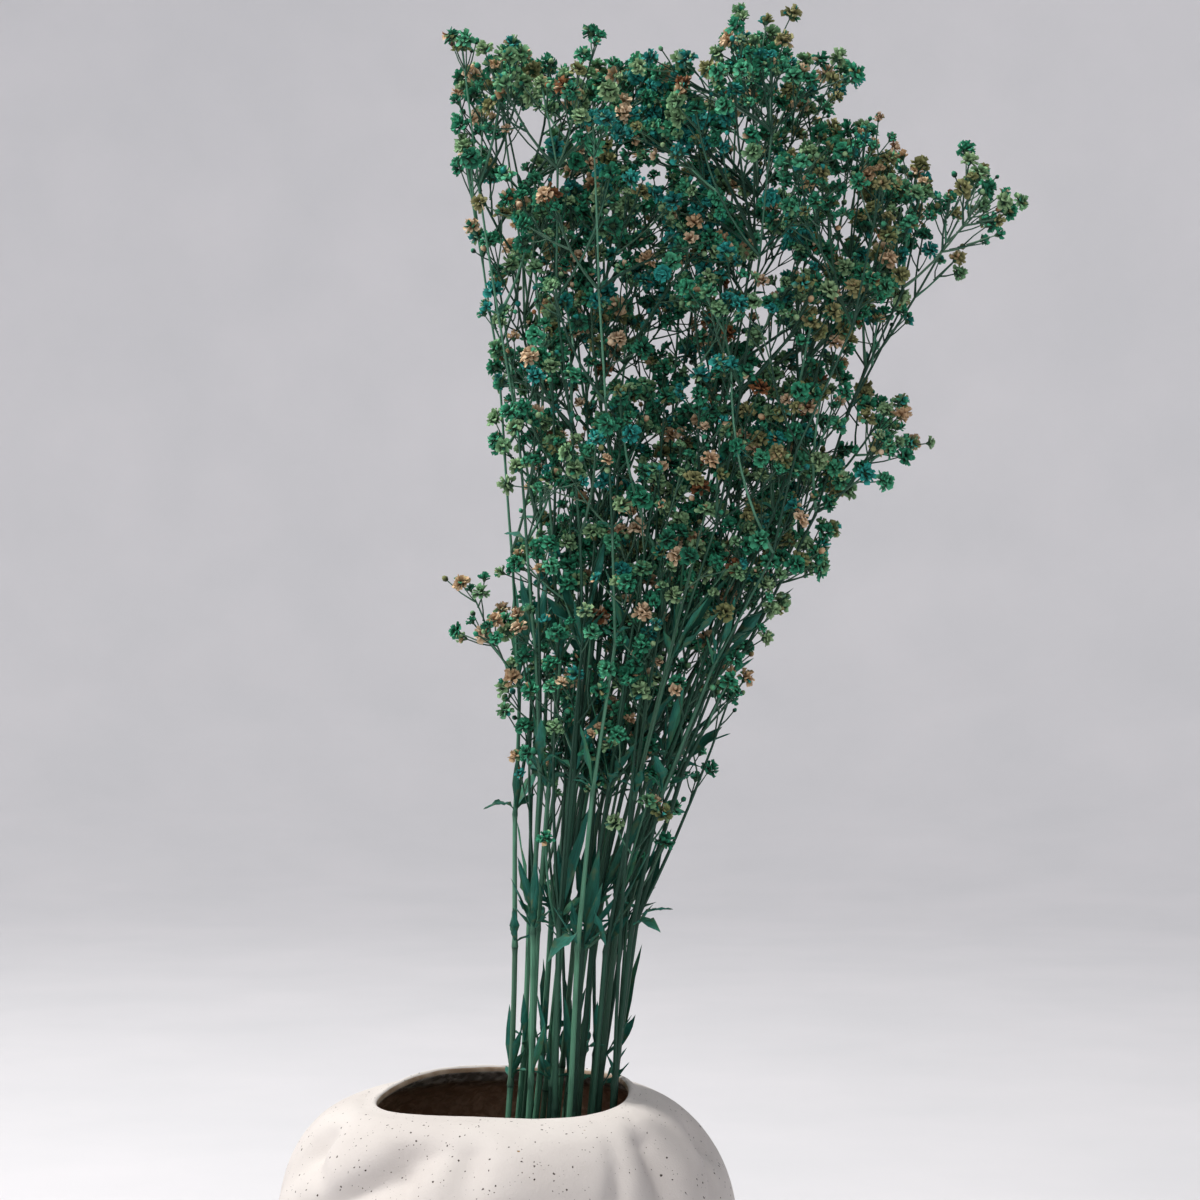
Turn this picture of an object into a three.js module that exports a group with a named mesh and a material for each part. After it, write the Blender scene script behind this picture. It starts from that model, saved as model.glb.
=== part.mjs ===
// Dried, dyed gypsophila standing in a pinched and speckled ceramic vase.
// Millimetres, +Z up, seen from -Y. The origin is the middle of the vase's flat foot.
// The bunch stands on the vase's floor, leans on the right side of the mouth and fans out to +X.

import * as THREE from 'three';

// Vase: half profile from the edge of the foot to the top of the lip, as radius and height
const vaseProfile = [
  [55, 0], [73, 9], [88, 38], [93.5, 80], [92, 110], [84.5, 130], [72, 144], [59, 150], [49.5, 151],
];
const wallThickness = 5.5;
const lipThickness = 3.6;
const floorThickness = 6;
const vaseSides = 36;
const outerRows = 12;
const innerRows = 8;
// Soft pinches pressed into the clay: azimuth, height, depth, half length, half breadth, lean
const pinches = [
  [240, 134, 8.0, 26, 10, 35],
  [203, 137, 6.0, 15, 8, 60],
  [262, 138, 4.2, 8, 12, 0],
  [318, 132, 6.0, 26, 8, 80],
  [350, 135, 5.0, 10, 8, 10],
  [18, 118, 5.0, 24, 11, 50],
  [62, 130, 6.0, 22, 10, 140],
  [104, 112, 5.0, 26, 11, 30],
  [148, 132, 6.5, 24, 10, 120],
  [176, 92, 4.5, 28, 12, 70],
  [286, 84, 3.5, 28, 13, 20],
  [40, 62, 4.0, 30, 14, 110],
  [130, 55, 4.0, 30, 14, 60],
  [222, 60, 4.0, 30, 13, 130],
];

// Bunch: height, middle of the bunch in X, half its width, half its depth
const stemCount = 24;
const stemFoot = floorThickness + 0.3;
const bunchShape = [
  [0, 12, 27, 22], [150, 23.5, 23, 17.5], [237, 31, 29, 22], [309, 47, 43, 31], [373, 65, 64, 41],
  [401, 68, 67, 45], [441, 73, 76, 50], [470, 78, 85, 54], [500, 80, 90, 57], [530, 79, 96, 60],
  [600, 77, 104, 62],
];
// In the flowering part the stems spread more evenly from side to side
const evenSpread = [280, 440];
// Top line of the bunch, as X and height
const topLine = [
  [-30, 560], [-12, 574], [20, 566], [54, 560], [74, 556], [92, 566], [112, 576], [126, 556],
  [140, 540], [160, 528], [175, 500],
];
// One stem stands up alone in the dip of the top line
const tallStem = 3;
const tallStemRise = 27;
const twistAtFoot = 0.75;
const twistEnds = 400;
const longInternode = 78;
const shortInternode = 46;
const stemRadiusAtFoot = 1.55;
const stemRadiusAtTop = 0.65;
const slimHeight = 350;
const stemCollar = 3;

// Branches, twigs, blooms and leaves
const branchedLength = 250;
const branchRadius = [0.8, 0.55];
const twigRadius = [0.6, 0.48];
const twigCollar = 1.8;
const firstRing = 5;
const freeFoot = 4.5;
const freeLeafFoot = 5;
const pairShare = 0.23;
const twigPairShare = 0.42;
const bloomWidth = 6.6;
const halfOpenWidth = 4.8;
const clearance = 0.45;
const tipMargin = 3;
const ownClearance = 0.3;
// Shoots that stand clear of the bunch: stem, height of the joint, place of the tip, twigs, bow to the stem
const looseShoots = [
  [22, 300, [-7, -7, 334], 4, 0.1],
  [18, 385, [148, -30, 411], 4, -0.3],
  [21, 400, [152, 6, 424], 2, -0.35],
  [18, 471, [188, -26, 507], 4, -0.2],
  [21, 450, [191, 6, 519], 4, -0.26],
];
// Leaves that are still on the stems: stem, height of their joint, azimuth, length, width, angle, droop
const leafList = [
  [12, 285, 10, 26, 6.0, 62, 0.3],
  [23, 235, -70, 22, 6.5, 40, 1.3],
  [18, 240, 250, 24, 5.5, 38, 0.7],
  [20, 212, 250, 34, 8.0, 45, 1.5],
  [22, 263, 220, 16, 5.0, 35, 1.6],
  [17, 281, -80, 28, 5.5, 26, 0.3],
  [15, 300, -40, 30, 5.5, 30, 0.0],
  [16, 250, 70, 30, 6.0, 32, 0.4],
  [11, 270, 110, 30, 6.0, 32, 0.5],
  [21, 235, 60, 24, 5.5, 35, 0.9],
  [8, 282, 40, 28, 5.5, 30, 0.2],
  [13, 281, -20, 28, 5.5, 28, 0.3],
  [7, 274, 250, 26, 5.5, 42, 0.8],
];
const bladeThickness = 0.7;
const stalkLength = 4.5;
const bladeShares = [0.28, 0.45, 0.66, 0.86];
const bladeOutline = [0.45, 1, 0.85, 0.4];

const clay = new THREE.MeshStandardMaterial({ color: 0xe0d9d5, roughness: 0.85, metalness: 0 });
const dyedGreens = [0x1d5f55, 0x2a6f5c, 0x15767a, 0x3c6b55, 0x246253, 0x1b6a6e];

const part = new THREE.Group();

// Even, repeatable draws between 0 and 1
function seededDraws(seed) {
  let state = seed >>> 0;
  return () => {
    state = (state + 0x6d2b79f5) >>> 0;
    let mixed = Math.imul(state ^ (state >>> 15), state | 1);
    mixed ^= mixed + Math.imul(mixed ^ (mixed >>> 7), mixed | 61);
    return ((mixed ^ (mixed >>> 14)) >>> 0) / 4294967296;
  };
}

// Values beside x in a table whose rows start with x
function valuesAt(table, x) {
  let row = 1;
  while (row < table.length - 1 && table[row][0] < x) row += 1;
  const [before, after] = [table[row - 1], table[row]];
  const share = THREE.MathUtils.clamp((x - before[0]) / (after[0] - before[0]), 0, 1);
  return before.slice(1).map((value, column) => THREE.MathUtils.lerp(value, after[column + 1], share));
}

// A body is a list of points and a list of faces that name them
function addRing(body, ring) {
  body.points.push(...ring);
  return ring.map((_, place) => body.points.length - ring.length + place);
}

// Triangles between two closed rings, which may differ in number or be one point
function joinRings(body, ringA, ringB) {
  const stepsA = ringA.length > 1 ? ringA.length : 0;
  const stepsB = ringB.length > 1 ? ringB.length : 0;
  let a = 0;
  let b = 0;
  while (a < stepsA || b < stepsB) {
    const walkA = b >= stepsB || (a < stepsA && (a + 0.5) / stepsA <= (b + 0.5) / stepsB);
    const nextA = ringA[(a + 1) % ringA.length];
    const nextB = ringB[(b + 1) % ringB.length];
    body.faces.push([ringA[a % ringA.length], walkA ? nextA : nextB, ringB[b % ringB.length]]);
    if (walkA) a += 1;
    else b += 1;
  }
}

function closeHead(body, ring) {
  for (let place = 1; place + 1 < ring.length; place += 1) {
    body.faces.push([ring[0], ring[place], ring[place + 1]]);
  }
}

function closeFoot(body, ring) {
  closeHead(body, [...ring].reverse());
}

function geometryOf(body) {
  const geometry = new THREE.BufferGeometry();
  const coordinates = body.points.flatMap((point) => point.toArray());
  geometry.setAttribute('position', new THREE.Float32BufferAttribute(coordinates, 3));
  geometry.setIndex(body.faces.filter((face) => face).flat());
  return geometry;
}

function addPiece(name, body, material) {
  const mesh = new THREE.Mesh(geometryOf(body), material);
  mesh.name = name;
  part.add(mesh);
}

// Vase
const vaseLine = new THREE.CatmullRomCurve3(
  vaseProfile.map(([radius, height]) => new THREE.Vector3(radius, 0, height)),
  false,
  'centripetal',
);

function pinchDepth(azimuth, height) {
  let depth = 0;
  for (const [middle, level, deepest, halfLength, halfBreadth, lean] of pinches) {
    const turn = ((THREE.MathUtils.radToDeg(azimuth) - middle + 540) % 360) - 180;
    const sideways = THREE.MathUtils.degToRad(turn) * 84;
    const upwards = height - level;
    const tilt = THREE.MathUtils.degToRad(lean);
    const lengthways = sideways * Math.cos(tilt) + upwards * Math.sin(tilt);
    const across = upwards * Math.cos(tilt) - sideways * Math.sin(tilt);
    depth += deepest * Math.exp(-((lengthways / halfLength) ** 2) - (across / halfBreadth) ** 2);
  }
  const aboveFoot = THREE.MathUtils.smoothstep(height, 4, 30);
  const belowLip = 1 - THREE.MathUtils.smoothstep(height, 142, 150);
  return depth * aboveFoot * belowLip;
}

// A point of the wall: share runs from the foot's edge to the lip, inset is measured into the clay
function wallPoint(share, azimuth, inset) {
  const onLine = vaseLine.getPoint(share);
  const ahead = vaseLine.getTangent(share);
  const pressed = inset + pinchDepth(azimuth, onLine.z);
  const nearMouth = THREE.MathUtils.smoothstep(share, 0.68, 1);
  const mouthWave = 0.035 * Math.cos(2 * azimuth) + 0.03 * Math.cos(3 * azimuth + 2.2);
  const lipTilt = 1.3 * Math.sin(azimuth) + 1.1 * Math.cos(azimuth - 0.3);
  const lipWave = lipTilt + 0.9 * Math.cos(3 * azimuth - 0.6);
  const radius = (onLine.x - pressed * ahead.z) * (1 + nearMouth * mouthWave);
  const height = onLine.z + pressed * ahead.x + nearMouth * lipWave;
  return new THREE.Vector3(radius * Math.cos(azimuth), radius * Math.sin(azimuth), height);
}

function wallRing(share, inset) {
  const turns = Array.from({ length: vaseSides }, (_, side) => (side / vaseSides) * 2 * Math.PI);
  return turns.map((azimuth) => wallPoint(share, azimuth, inset));
}

function vaseBody() {
  const rings = [];
  for (let row = 0; row <= outerRows; row += 1) rings.push(wallRing(row / outerRows, 0));
  rings.push(wallRing(1, lipThickness));
  const floorShare = 0.12;
  for (let row = 1; row <= innerRows; row += 1) {
    const inset = THREE.MathUtils.lerp(lipThickness, wallThickness, Math.min(1, row / 3));
    rings.push(wallRing(THREE.MathUtils.lerp(1, floorShare, row / innerRows), inset));
  }
  const lowest = rings[rings.length - 1];
  rings.push(lowest.map((p) => new THREE.Vector3(p.x * 0.9, p.y * 0.9, floorThickness)));
  const body = { points: [], faces: [] };
  const numbered = rings.map((ring) => addRing(body, ring));
  for (let row = 0; row + 1 < numbered.length; row += 1) joinRings(body, numbered[row], numbered[row + 1]);
  closeFoot(body, numbered[0]);
  closeHead(body, numbered[numbered.length - 1]);
  return body;
}

addPiece('vase', vaseBody(), clay);

// Room in the bunch: every stretch of stem, twig and leaf and every bloom that has its place already
const placed = [];

// Shortest distance between two straight stretches, less both radii
function gapBetween(a, b) {
  const u = a.end.clone().sub(a.start);
  const v = b.end.clone().sub(b.start);
  const w = a.start.clone().sub(b.start);
  const clamp = (x) => Math.min(1, Math.max(0, x));
  const [uu, vv, uv, uw, vw] = [u.dot(u), v.dot(v), u.dot(v), u.dot(w), v.dot(w)];
  const spread = uu * vv - uv * uv;
  let s = spread > 1e-9 ? clamp((uv * vw - vv * uw) / spread) : 0;
  let t = vv > 1e-9 ? (uv * s + vw) / vv : 0;
  if (t < 0 || t > 1 || vv <= 1e-9) {
    t = clamp(t);
    s = uu > 1e-9 ? clamp((uv * t - uw) / uu) : 0;
  }
  return w.addScaledVector(u, s).addScaledVector(v, -t).length() - a.radius - b.radius;
}

function stretchesOf(points, radii, spray) {
  return points.slice(1).map((end, place) => ({
    spray,
    start: points[place],
    end,
    radius: Math.max(radii[place], radii[place + 1]),
  }));
}

function bloomSpace(axis) {
  const [before, tip] = [axis.root, ...axis.points].slice(-2);
  const middle = tip.clone().addScaledVector(tip.clone().sub(before).normalize(), axis.bloom * 0.34);
  return { spray: axis.spray, start: middle, end: middle, radius: axis.bloom * 0.5 };
}

// Takes the room for a new piece if it is free: its first millimetres lie in the stem that it grows from
function takeRoom(space, root, foot) {
  const pastFoot = space.map((stretch) => {
    const near = stretch.start.distanceTo(root);
    const length = stretch.end.distanceTo(stretch.start);
    const share = THREE.MathUtils.clamp((foot - near) / Math.max(length, 1e-6), 0, 0.95);
    return { ...stretch, start: stretch.start.clone().lerp(stretch.end, share) };
  });
  const clear = placed.every((taken) => {
    const own = taken.spray === space[0].spray;
    const gap = own ? ownClearance : clearance;
    return (own ? pastFoot : space).every((stretch) => gapBetween(stretch, taken) > gap);
  });
  if (clear) placed.push(...space);
  return clear;
}

// Where a stem stands at a height: its spot on a disc, turned, stretched and shifted with the bunch
function stemPlace(spray, height, swayX, swayY) {
  const reach = 0.96 * Math.sqrt((spray + 0.5) / stemCount);
  const twist = twistAtFoot * Math.max(0, 1 - height / twistEnds);
  const turn = spray * Math.PI * (3 - Math.sqrt(5)) + 0.35 + twist;
  const [middle, halfWidth, halfDepth] = valuesAt(bunchShape, height);
  const sideways = reach * Math.cos(turn);
  const even = THREE.MathUtils.smoothstep(height, evenSpread[0], evenSpread[1]);
  const spread = THREE.MathUtils.lerp(sideways, Math.sin((sideways * Math.PI) / 2), even);
  const x = middle + halfWidth * (spread + swayX);
  const y = halfDepth * (reach * Math.sin(turn) + swayY);
  return new THREE.Vector3(x, y, height);
}

// A main stem, straight from joint to joint, with a small bend at each
function growStem(spray) {
  const draw = seededDraws(100 + spray);
  const crown = stemPlace(spray, 540, 0, 0);
  const [topHeight] = valuesAt(topLine, crown.x);
  const shorter = spray % 3 === 1 && spray < 18 ? 70 + 60 * draw() : 24 * draw();
  const top = topHeight - shorter - 0.004 * crown.y * crown.y + (spray === tallStem ? tallStemRise : 0);
  const points = [];
  let height = stemFoot;
  while (height < top - 0.6 * shortInternode) {
    const sway = height < 200 ? 0.02 : 0.04;
    points.push(stemPlace(spray, height, sway * (2 * draw() - 1), sway * (2 * draw() - 1)));
    const internode = THREE.MathUtils.lerp(longInternode, shortInternode, Math.min(1, height / 350));
    height += internode * (0.85 + 0.3 * draw());
  }
  points.push(stemPlace(spray, top, 0, 0));
  const share = (p) => (p.z - stemFoot) / (top - stemFoot);
  const radii = points.map((p) => THREE.MathUtils.lerp(stemRadiusAtFoot, stemRadiusAtTop, share(p)));
  return { spray, root: points[0], points, radii, bloom: bloomWidth };
}

// A line that leaves its parent at an angle, bends back along it and ends in a bloom or a leaf's tip
function sideLine(root, ahead, angle, azimuth, length, lift) {
  const side = new THREE.Vector3(Math.cos(azimuth), Math.sin(azimuth), 0);
  side.addScaledVector(ahead, -side.dot(ahead)).normalize();
  const outward = ahead.clone().multiplyScalar(Math.cos(angle)).addScaledVector(side, Math.sin(angle));
  const lifted = outward.clone().lerp(ahead, lift).normalize();
  const middle = root.clone().addScaledVector(outward, length * 0.45);
  const tip = middle.clone().addScaledVector(lifted, length * 0.55);
  return new THREE.QuadraticBezierCurve3(root.clone(), middle, tip);
}

const sprays = [];
for (let spray = 0; spray < stemCount; spray += 1) {
  sprays.push({ stem: growStem(spray), branches: [], leaves: [] });
}
for (const { stem } of sprays) {
  placed.push(...stretchesOf(stem.points, stem.radii.map((r) => r * 1.3), stem.spray), bloomSpace(stem));
}

// One branch or twig, if there is room for it; its joints are the places along it where twigs leave
function growAxis(spray, collar, line, joints, radii, bloom) {
  const length = line.getLength();
  const foot = joints.length ? [firstRing / (2 * line.v0.distanceTo(line.v1))] : [];
  const shares = [...foot, ...joints.flatMap((joint) => [joint, joint + twigCollar / length]), 1];
  const points = shares.map((share) => line.getPoint(share));
  const root = line.getPoint(0);
  const radiusAt = shares.map((share) => THREE.MathUtils.lerp(radii[0], radii[1], share));
  const axis = { spray, collar, root, points, radii: radiusAt, bloom, twigs: [] };
  const space = [...stretchesOf([root, ...points], [radii[0], ...radiusAt], spray), bloomSpace(axis)];
  return takeRoom(space, root, freeFoot) ? axis : null;
}

// The joint of a stem that is nearest to a height
function jointNear(stem, height) {
  let nearest = 1;
  for (let place = 2; place + 1 < stem.points.length; place += 1) {
    if (Math.abs(stem.points[place].z - height) < Math.abs(stem.points[nearest].z - height)) nearest = place;
  }
  return nearest;
}

// Middle of the collar just above a joint, and the way the stem goes on from it
function collarAt(stem, joint) {
  const ahead = stem.points[joint + 1].clone().sub(stem.points[joint]).normalize();
  return { root: stem.points[joint].clone().addScaledVector(ahead, stemCollar / 2), ahead };
}

// Twigs with one bloom each, spread round the joints of a branch
function growTwigs(branch, count, seed) {
  const joints = (branch.points.length - 2) / 2;
  for (let number = 0; number < count; number += 1) {
    const low = 1 + 2 * (number % joints);
    const root = branch.points[low].clone().lerp(branch.points[low + 1], 0.5);
    const ahead = branch.points[low + 1].clone().sub(branch.points[low]).normalize();
    const draw = seededDraws(seed + number);
    for (let attempt = 0; attempt < 8; attempt += 1) {
      const azimuth = seed + Math.PI * Math.floor(number / joints) + (draw() - 0.5) * (0.8 + 0.7 * attempt);
      const length = (16 + 11 * draw()) * (1 - 0.04 * attempt);
      const bloom = draw() < 0.5 ? bloomWidth : halfOpenWidth;
      const line = sideLine(root, ahead, 0.6 + 0.35 * draw(), azimuth, length, 0.45);
      if (branch.seed && !insideBunch(line.v2)) continue;
      const twig = growAxis(branch.spray, low + 1, line, [], twigRadius, bloom);
      if (twig) {
        branch.twigs.push(twig);
        break;
      }
    }
  }
}

function growLooseShoots() {
  looseShoots.forEach(([spray, height, tip, twigs, bow], number) => {
    const { stem, branches } = sprays[spray];
    const joint = jointNear(stem, height);
    const { root, ahead } = collarAt(stem, joint);
    const end = new THREE.Vector3(...tip);
    const middle = root.clone().lerp(end, 0.5).addScaledVector(ahead, bow * root.distanceTo(end));
    const line = new THREE.QuadraticBezierCurve3(root, middle, end);
    const joints = twigs > 2 ? [0.5, 0.75] : [0.6];
    const branch = growAxis(spray, joint, line, joints, branchRadius, bloomWidth);
    if (!branch) return;
    branches.push(branch);
    growTwigs(branch, twigs, 900 + 10 * number);
  });
}

function growLeaves() {
  leafList.forEach(([spray, height, azimuth, length, width, angle, droop], number) => {
    const { stem, leaves } = sprays[spray];
    const joint = jointNear(stem, height);
    const { root, ahead } = collarAt(stem, joint);
    const draw = seededDraws(600 + number);
    for (let attempt = 0; attempt < 10; attempt += 1) {
      const turn = THREE.MathUtils.degToRad(azimuth) + (draw() - 0.5) * 0.4 * attempt;
      const size = 1 - 0.04 * attempt;
      const rise = THREE.MathUtils.degToRad(angle);
      const line = sideLine(root, ahead, rise, turn, length * size, 0);
      const hanging = new THREE.Vector3(Math.cos(turn), Math.sin(turn), -1.6);
      line.v2.addScaledVector(hanging, 0.3 * droop * length * size);
      const across = new THREE.Vector3(-Math.sin(turn), Math.cos(turn), 0);
      const roll = draw() * 2 - 1;
      const leaf = { spray, collar: joint, root, line, across, width: width * size, roll, waves: [] };
      bladeShares.forEach(() => leaf.waves.push([draw() - 0.5, draw() - 0.5]));
      const sections = bladeSections(leaf);
      const lines = [0, 1, 2].flatMap((lane) => {
        const lane3 = sections.map((section) => section.lanes[lane]);
        return stretchesOf([...lane3, line.v2], Array(lane3.length + 1).fill(0.8 + 0.1 * width), spray);
      });
      if (takeRoom(lines, root, freeLeafFoot)) {
        leaves.push(leaf);
        return;
      }
    }
  });
}

// The tips of branches stand inside the bunch's outline
function insideBunch(tip) {
  const [middle, halfWidth, halfDepth] = valuesAt(bunchShape, tip.z);
  const sideways = (tip.x - middle) / (halfWidth + tipMargin);
  const [top] = valuesAt(topLine, tip.x);
  return Math.hypot(sideways, tip.y / (halfDepth + tipMargin)) < 1 && tip.z < top + tipMargin;
}

// Branches at the upper joints of every stem: mostly one, sometimes an opposite pair
function growBranches() {
  for (let fromTop = 1; fromTop <= 6; fromTop += 1) {
    for (const { stem, branches } of sprays) {
      const joint = stem.points.length - 1 - fromTop;
      const top = stem.points[stem.points.length - 1];
      if (joint < 2 || top.z - stem.points[joint].z > branchedLength) continue;
      const { root, ahead } = collarAt(stem, joint);
      const pair = seededDraws(7000 + stem.spray * 10 + fromTop)() < pairShare ? 2 : 1;
      for (let side = 0; side < pair; side += 1) {
        const seed = 10000 + stem.spray * 100 + fromTop * 10 + side;
        const draw = seededDraws(seed);
        for (let attempt = 0; attempt < 9; attempt += 1) {
          const straight = (fromTop * 0.5 + side) * Math.PI + stem.spray * 1.3;
          const azimuth = straight + (draw() - 0.5) * (0.7 + 0.9 * attempt);
          const length = (42 + 34 * draw() + 4 * fromTop) * (1 - 0.05 * attempt);
          const line = sideLine(root, ahead, 0.62 + 0.3 * draw(), azimuth, length, 0.7);
          if (!insideBunch(line.v2)) continue;
          const branch = growAxis(stem.spray, joint, line, [0.5], branchRadius, bloomWidth);
          if (branch) {
            branch.seed = seed * 3;
            branches.push(branch);
            break;
          }
        }
      }
    }
  }
  for (const { branches } of sprays) {
    for (const branch of branches.filter(({ seed }) => seed)) {
      growTwigs(branch, seededDraws(branch.seed)() < twigPairShare ? 2 : 1, branch.seed);
    }
  }
}

// Cross sections of a leaf's blade, folded a little along its midrib and waved along its edges
function bladeSections(leaf) {
  return bladeShares.map((share, place) => {
    const middle = leaf.line.getPoint(share);
    const ahead = leaf.line.getTangent(share);
    const across = leaf.across.clone().applyAxisAngle(ahead, leaf.roll * share);
    across.addScaledVector(ahead, -across.dot(ahead)).normalize();
    const up = ahead.clone().cross(across);
    const half = 0.5 * leaf.width * bladeOutline[place];
    const edge = (way, wave) => {
      const level = middle.clone().addScaledVector(across, way * half);
      return level.addScaledVector(up, half * (0.25 + 0.5 * wave));
    };
    return { up, lanes: [edge(1, leaf.waves[place][0]), middle, edge(-1, leaf.waves[place][1])] };
  });
}

growLooseShoots();
growLeaves();
growBranches();

// Shapes of the bunch's pieces
function ringAround(middle, side, other, count, radiusAt) {
  return Array.from({ length: count }, (_, corner) => {
    const turn = (corner / count) * 2 * Math.PI;
    return middle.clone()
      .addScaledVector(side, radiusAt(corner) * Math.cos(turn))
      .addScaledVector(other, radiusAt(corner) * Math.sin(turn));
  });
}

// Ruffled double bloom: a cup that opens into petals standing alternately out and in, and an upper layer
function addBloom(body, cup, tip, ahead, side, width) {
  const other = ahead.clone().cross(side);
  const open = width > 5.5;
  const petals = open ? 8 : 6;
  const rim = tip.clone().addScaledVector(ahead, width * 0.36);
  const outer = ringAround(rim, side, other, petals, (corner) => width * (corner % 2 ? 0.36 : 0.5));
  outer.forEach((point, corner) => point.addScaledVector(ahead, width * (corner % 2 ? 0.1 : -0.08)));
  let last = addRing(body, outer);
  joinRings(body, cup, last);
  if (open) {
    const upperMiddle = tip.clone().addScaledVector(ahead, width * 0.68);
    const upperRing = addRing(body, ringAround(upperMiddle, side, other, 4, () => width * 0.27));
    joinRings(body, last, upperRing);
    last = upperRing;
  }
  joinRings(body, last, addRing(body, [tip.clone().addScaledVector(ahead, width * (open ? 0.56 : 0.78))]));
}

// A tube on from a ring that the body has already; collars holds the faces between every two rings
function addTube(body, startRing, root, side, points, radii, sides, collars) {
  let ring = startRing;
  let ahead = null;
  points.forEach((point, place) => {
    const back = place ? points[place - 1] : root;
    const front = points[Math.min(points.length - 1, place + 1)];
    ahead = front.clone().sub(back).normalize();
    side.addScaledVector(ahead, -side.dot(ahead)).normalize();
    const other = ahead.clone().cross(side);
    const next = addRing(body, ringAround(point, side, other, sides(place), () => radii[place]));
    const firstFace = body.faces.length;
    if (ring) joinRings(body, ring, next);
    else closeFoot(body, next);
    collars.push([firstFace, body.faces.length]);
    ring = next;
  });
  return { ring, ahead };
}

// The face of a collar that looks most nearly along a direction is taken out: what grows there stands on it
function openFace(body, [firstFace, endFace], direction) {
  let best = null;
  let bestLook = -Infinity;
  for (let number = firstFace; number < endFace; number += 1) {
    const face = body.faces[number];
    if (!face) continue;
    const triangle = new THREE.Triangle(...face.map((corner) => body.points[corner]));
    const look = triangle.getNormal(new THREE.Vector3()).dot(direction);
    if (look > bestLook) {
      bestLook = look;
      best = number;
    }
  }
  const face = body.faces[best];
  body.faces[best] = null;
  return face;
}

// The foot of a new piece: a face of the collar, and the turn of a three-cornered ring that follows it best
function footOn(body, collar, ahead) {
  const ring = openFace(body, collar, ahead);
  const corners = ring.map((corner) => body.points[corner]);
  const centre = corners[0].clone().add(corners[1]).add(corners[2]).divideScalar(3);
  const first = corners[0].clone().sub(centre);
  first.addScaledVector(ahead, -first.dot(ahead)).normalize();
  const other = ahead.clone().cross(first);
  let alongFirst = 0;
  let alongOther = 0;
  corners.forEach((corner, place) => {
    const reach = corner.clone().sub(centre);
    const turn = (place / 3) * 2 * Math.PI;
    alongFirst += reach.dot(first) * Math.cos(turn) + reach.dot(other) * Math.sin(turn);
    alongOther += reach.dot(other) * Math.cos(turn) - reach.dot(first) * Math.sin(turn);
  });
  const turn = Math.atan2(alongOther, alongFirst);
  return { ring, side: first.multiplyScalar(Math.cos(turn)).addScaledVector(other, Math.sin(turn)) };
}

function addAxis(body, collar, axis) {
  const ahead = axis.points[0].clone().sub(axis.root).normalize();
  const { ring, side } = footOn(body, collar, ahead);
  const collars = [];
  const end = addTube(body, ring, axis.root, side, axis.points, axis.radii, () => 3, collars);
  addBloom(body, end.ring, axis.points[axis.points.length - 1], end.ahead, side, axis.bloom);
  for (const twig of axis.twigs) addAxis(body, collars[twig.collar], twig);
}

// A leaf: both faces of its blade are split alike, so that they never cross
function addLeaf(body, collar, leaf) {
  const sections = bladeSections(leaf);
  const stalk = leaf.line.getPoint(stalkLength / leaf.line.getLength());
  const { ring, side } = footOn(body, collar, stalk.clone().sub(leaf.root).normalize());
  let last = addTube(body, ring, leaf.root, side, [stalk], [0.6], () => 3, []).ring;
  sections.forEach(({ up, lanes: [right, middle, left] }, place) => {
    const face = (point, way) => point.clone().addScaledVector(up, 0.5 * way * bladeThickness);
    const top = [face(right, 1), face(middle, 1), face(left, 1)];
    const next = addRing(body, [face(right, -1), ...top, face(left, -1), face(middle, -1)]);
    if (place === 0) joinRings(body, nearestStart(body, last, next[0]), next);
    else joinBlade(body, last, next);
    last = next;
  });
  joinRings(body, last, addRing(body, [leaf.line.v2.clone()]));
}

// A ring's numbers, turned so that they start with the point nearest to another
function nearestStart(body, ring, other) {
  const distances = ring.map((corner) => body.points[corner].distanceTo(body.points[other]));
  const start = distances.indexOf(Math.min(...distances));
  return [...ring.slice(start), ...ring.slice(0, start)];
}

function joinBlade(body, ringA, ringB) {
  const underside = 4;
  ringA.forEach((cornerA, place) => {
    const after = (place + 1) % ringA.length;
    const across = place < underside ? ringB[place] : ringB[after];
    const corner = place < underside ? ringA[after] : cornerA;
    body.faces.push([cornerA, ringA[after], across], [corner, ringB[after], ringB[place]]);
  });
}

// The main stem is thick at each joint and slimmer on both sides of it
function addStem(body, stem) {
  const points = [];
  const radii = [];
  const joints = [];
  const towards = (from, to) => from.clone().addScaledVector(to.clone().sub(from).normalize(), stemCollar);
  stem.points.forEach((point, place) => {
    const radius = stem.radii[place];
    const last = place === stem.points.length - 1;
    if (place > 0 && !last && point.z < slimHeight) {
      points.push(towards(point, stem.points[place - 1]));
      radii.push(radius * 0.95);
    }
    points.push(point);
    radii.push(radius * (place === 0 || last ? 0.9 : 1.3));
    joints.push(points.length);
    if (place === 0 || last) return;
    points.push(towards(point, stem.points[place + 1]));
    radii.push(radius * 0.92);
  });
  const collars = [];
  const side = new THREE.Vector3(1, 0, 0);
  const sides = (place) => (points[place].z < slimHeight ? 4 : 3);
  const end = addTube(body, null, points[0], side, points, radii, sides, collars);
  addBloom(body, end.ring, points[points.length - 1], end.ahead, side, stem.bloom);
  return joints.map((number) => collars[number]);
}

sprays.forEach(({ stem, branches, leaves }, number) => {
  const body = { points: [], faces: [] };
  const collars = addStem(body, stem);
  for (const branch of branches) addAxis(body, collars[branch.collar], branch);
  for (const leaf of leaves) addLeaf(body, collars[leaf.collar], leaf);
  const color = dyedGreens[number % dyedGreens.length];
  const material = new THREE.MeshStandardMaterial({ color, roughness: 0.8, metalness: 0 });
  addPiece(`spray_${String(number + 1).padStart(2, '0')}`, body, material);
});

export default part;
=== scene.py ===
# Dried, dyed gypsophila in a pinched and speckled ceramic vase.
# The object is sized in millimetres, as its maker would, and its meshes are written in metres.

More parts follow.
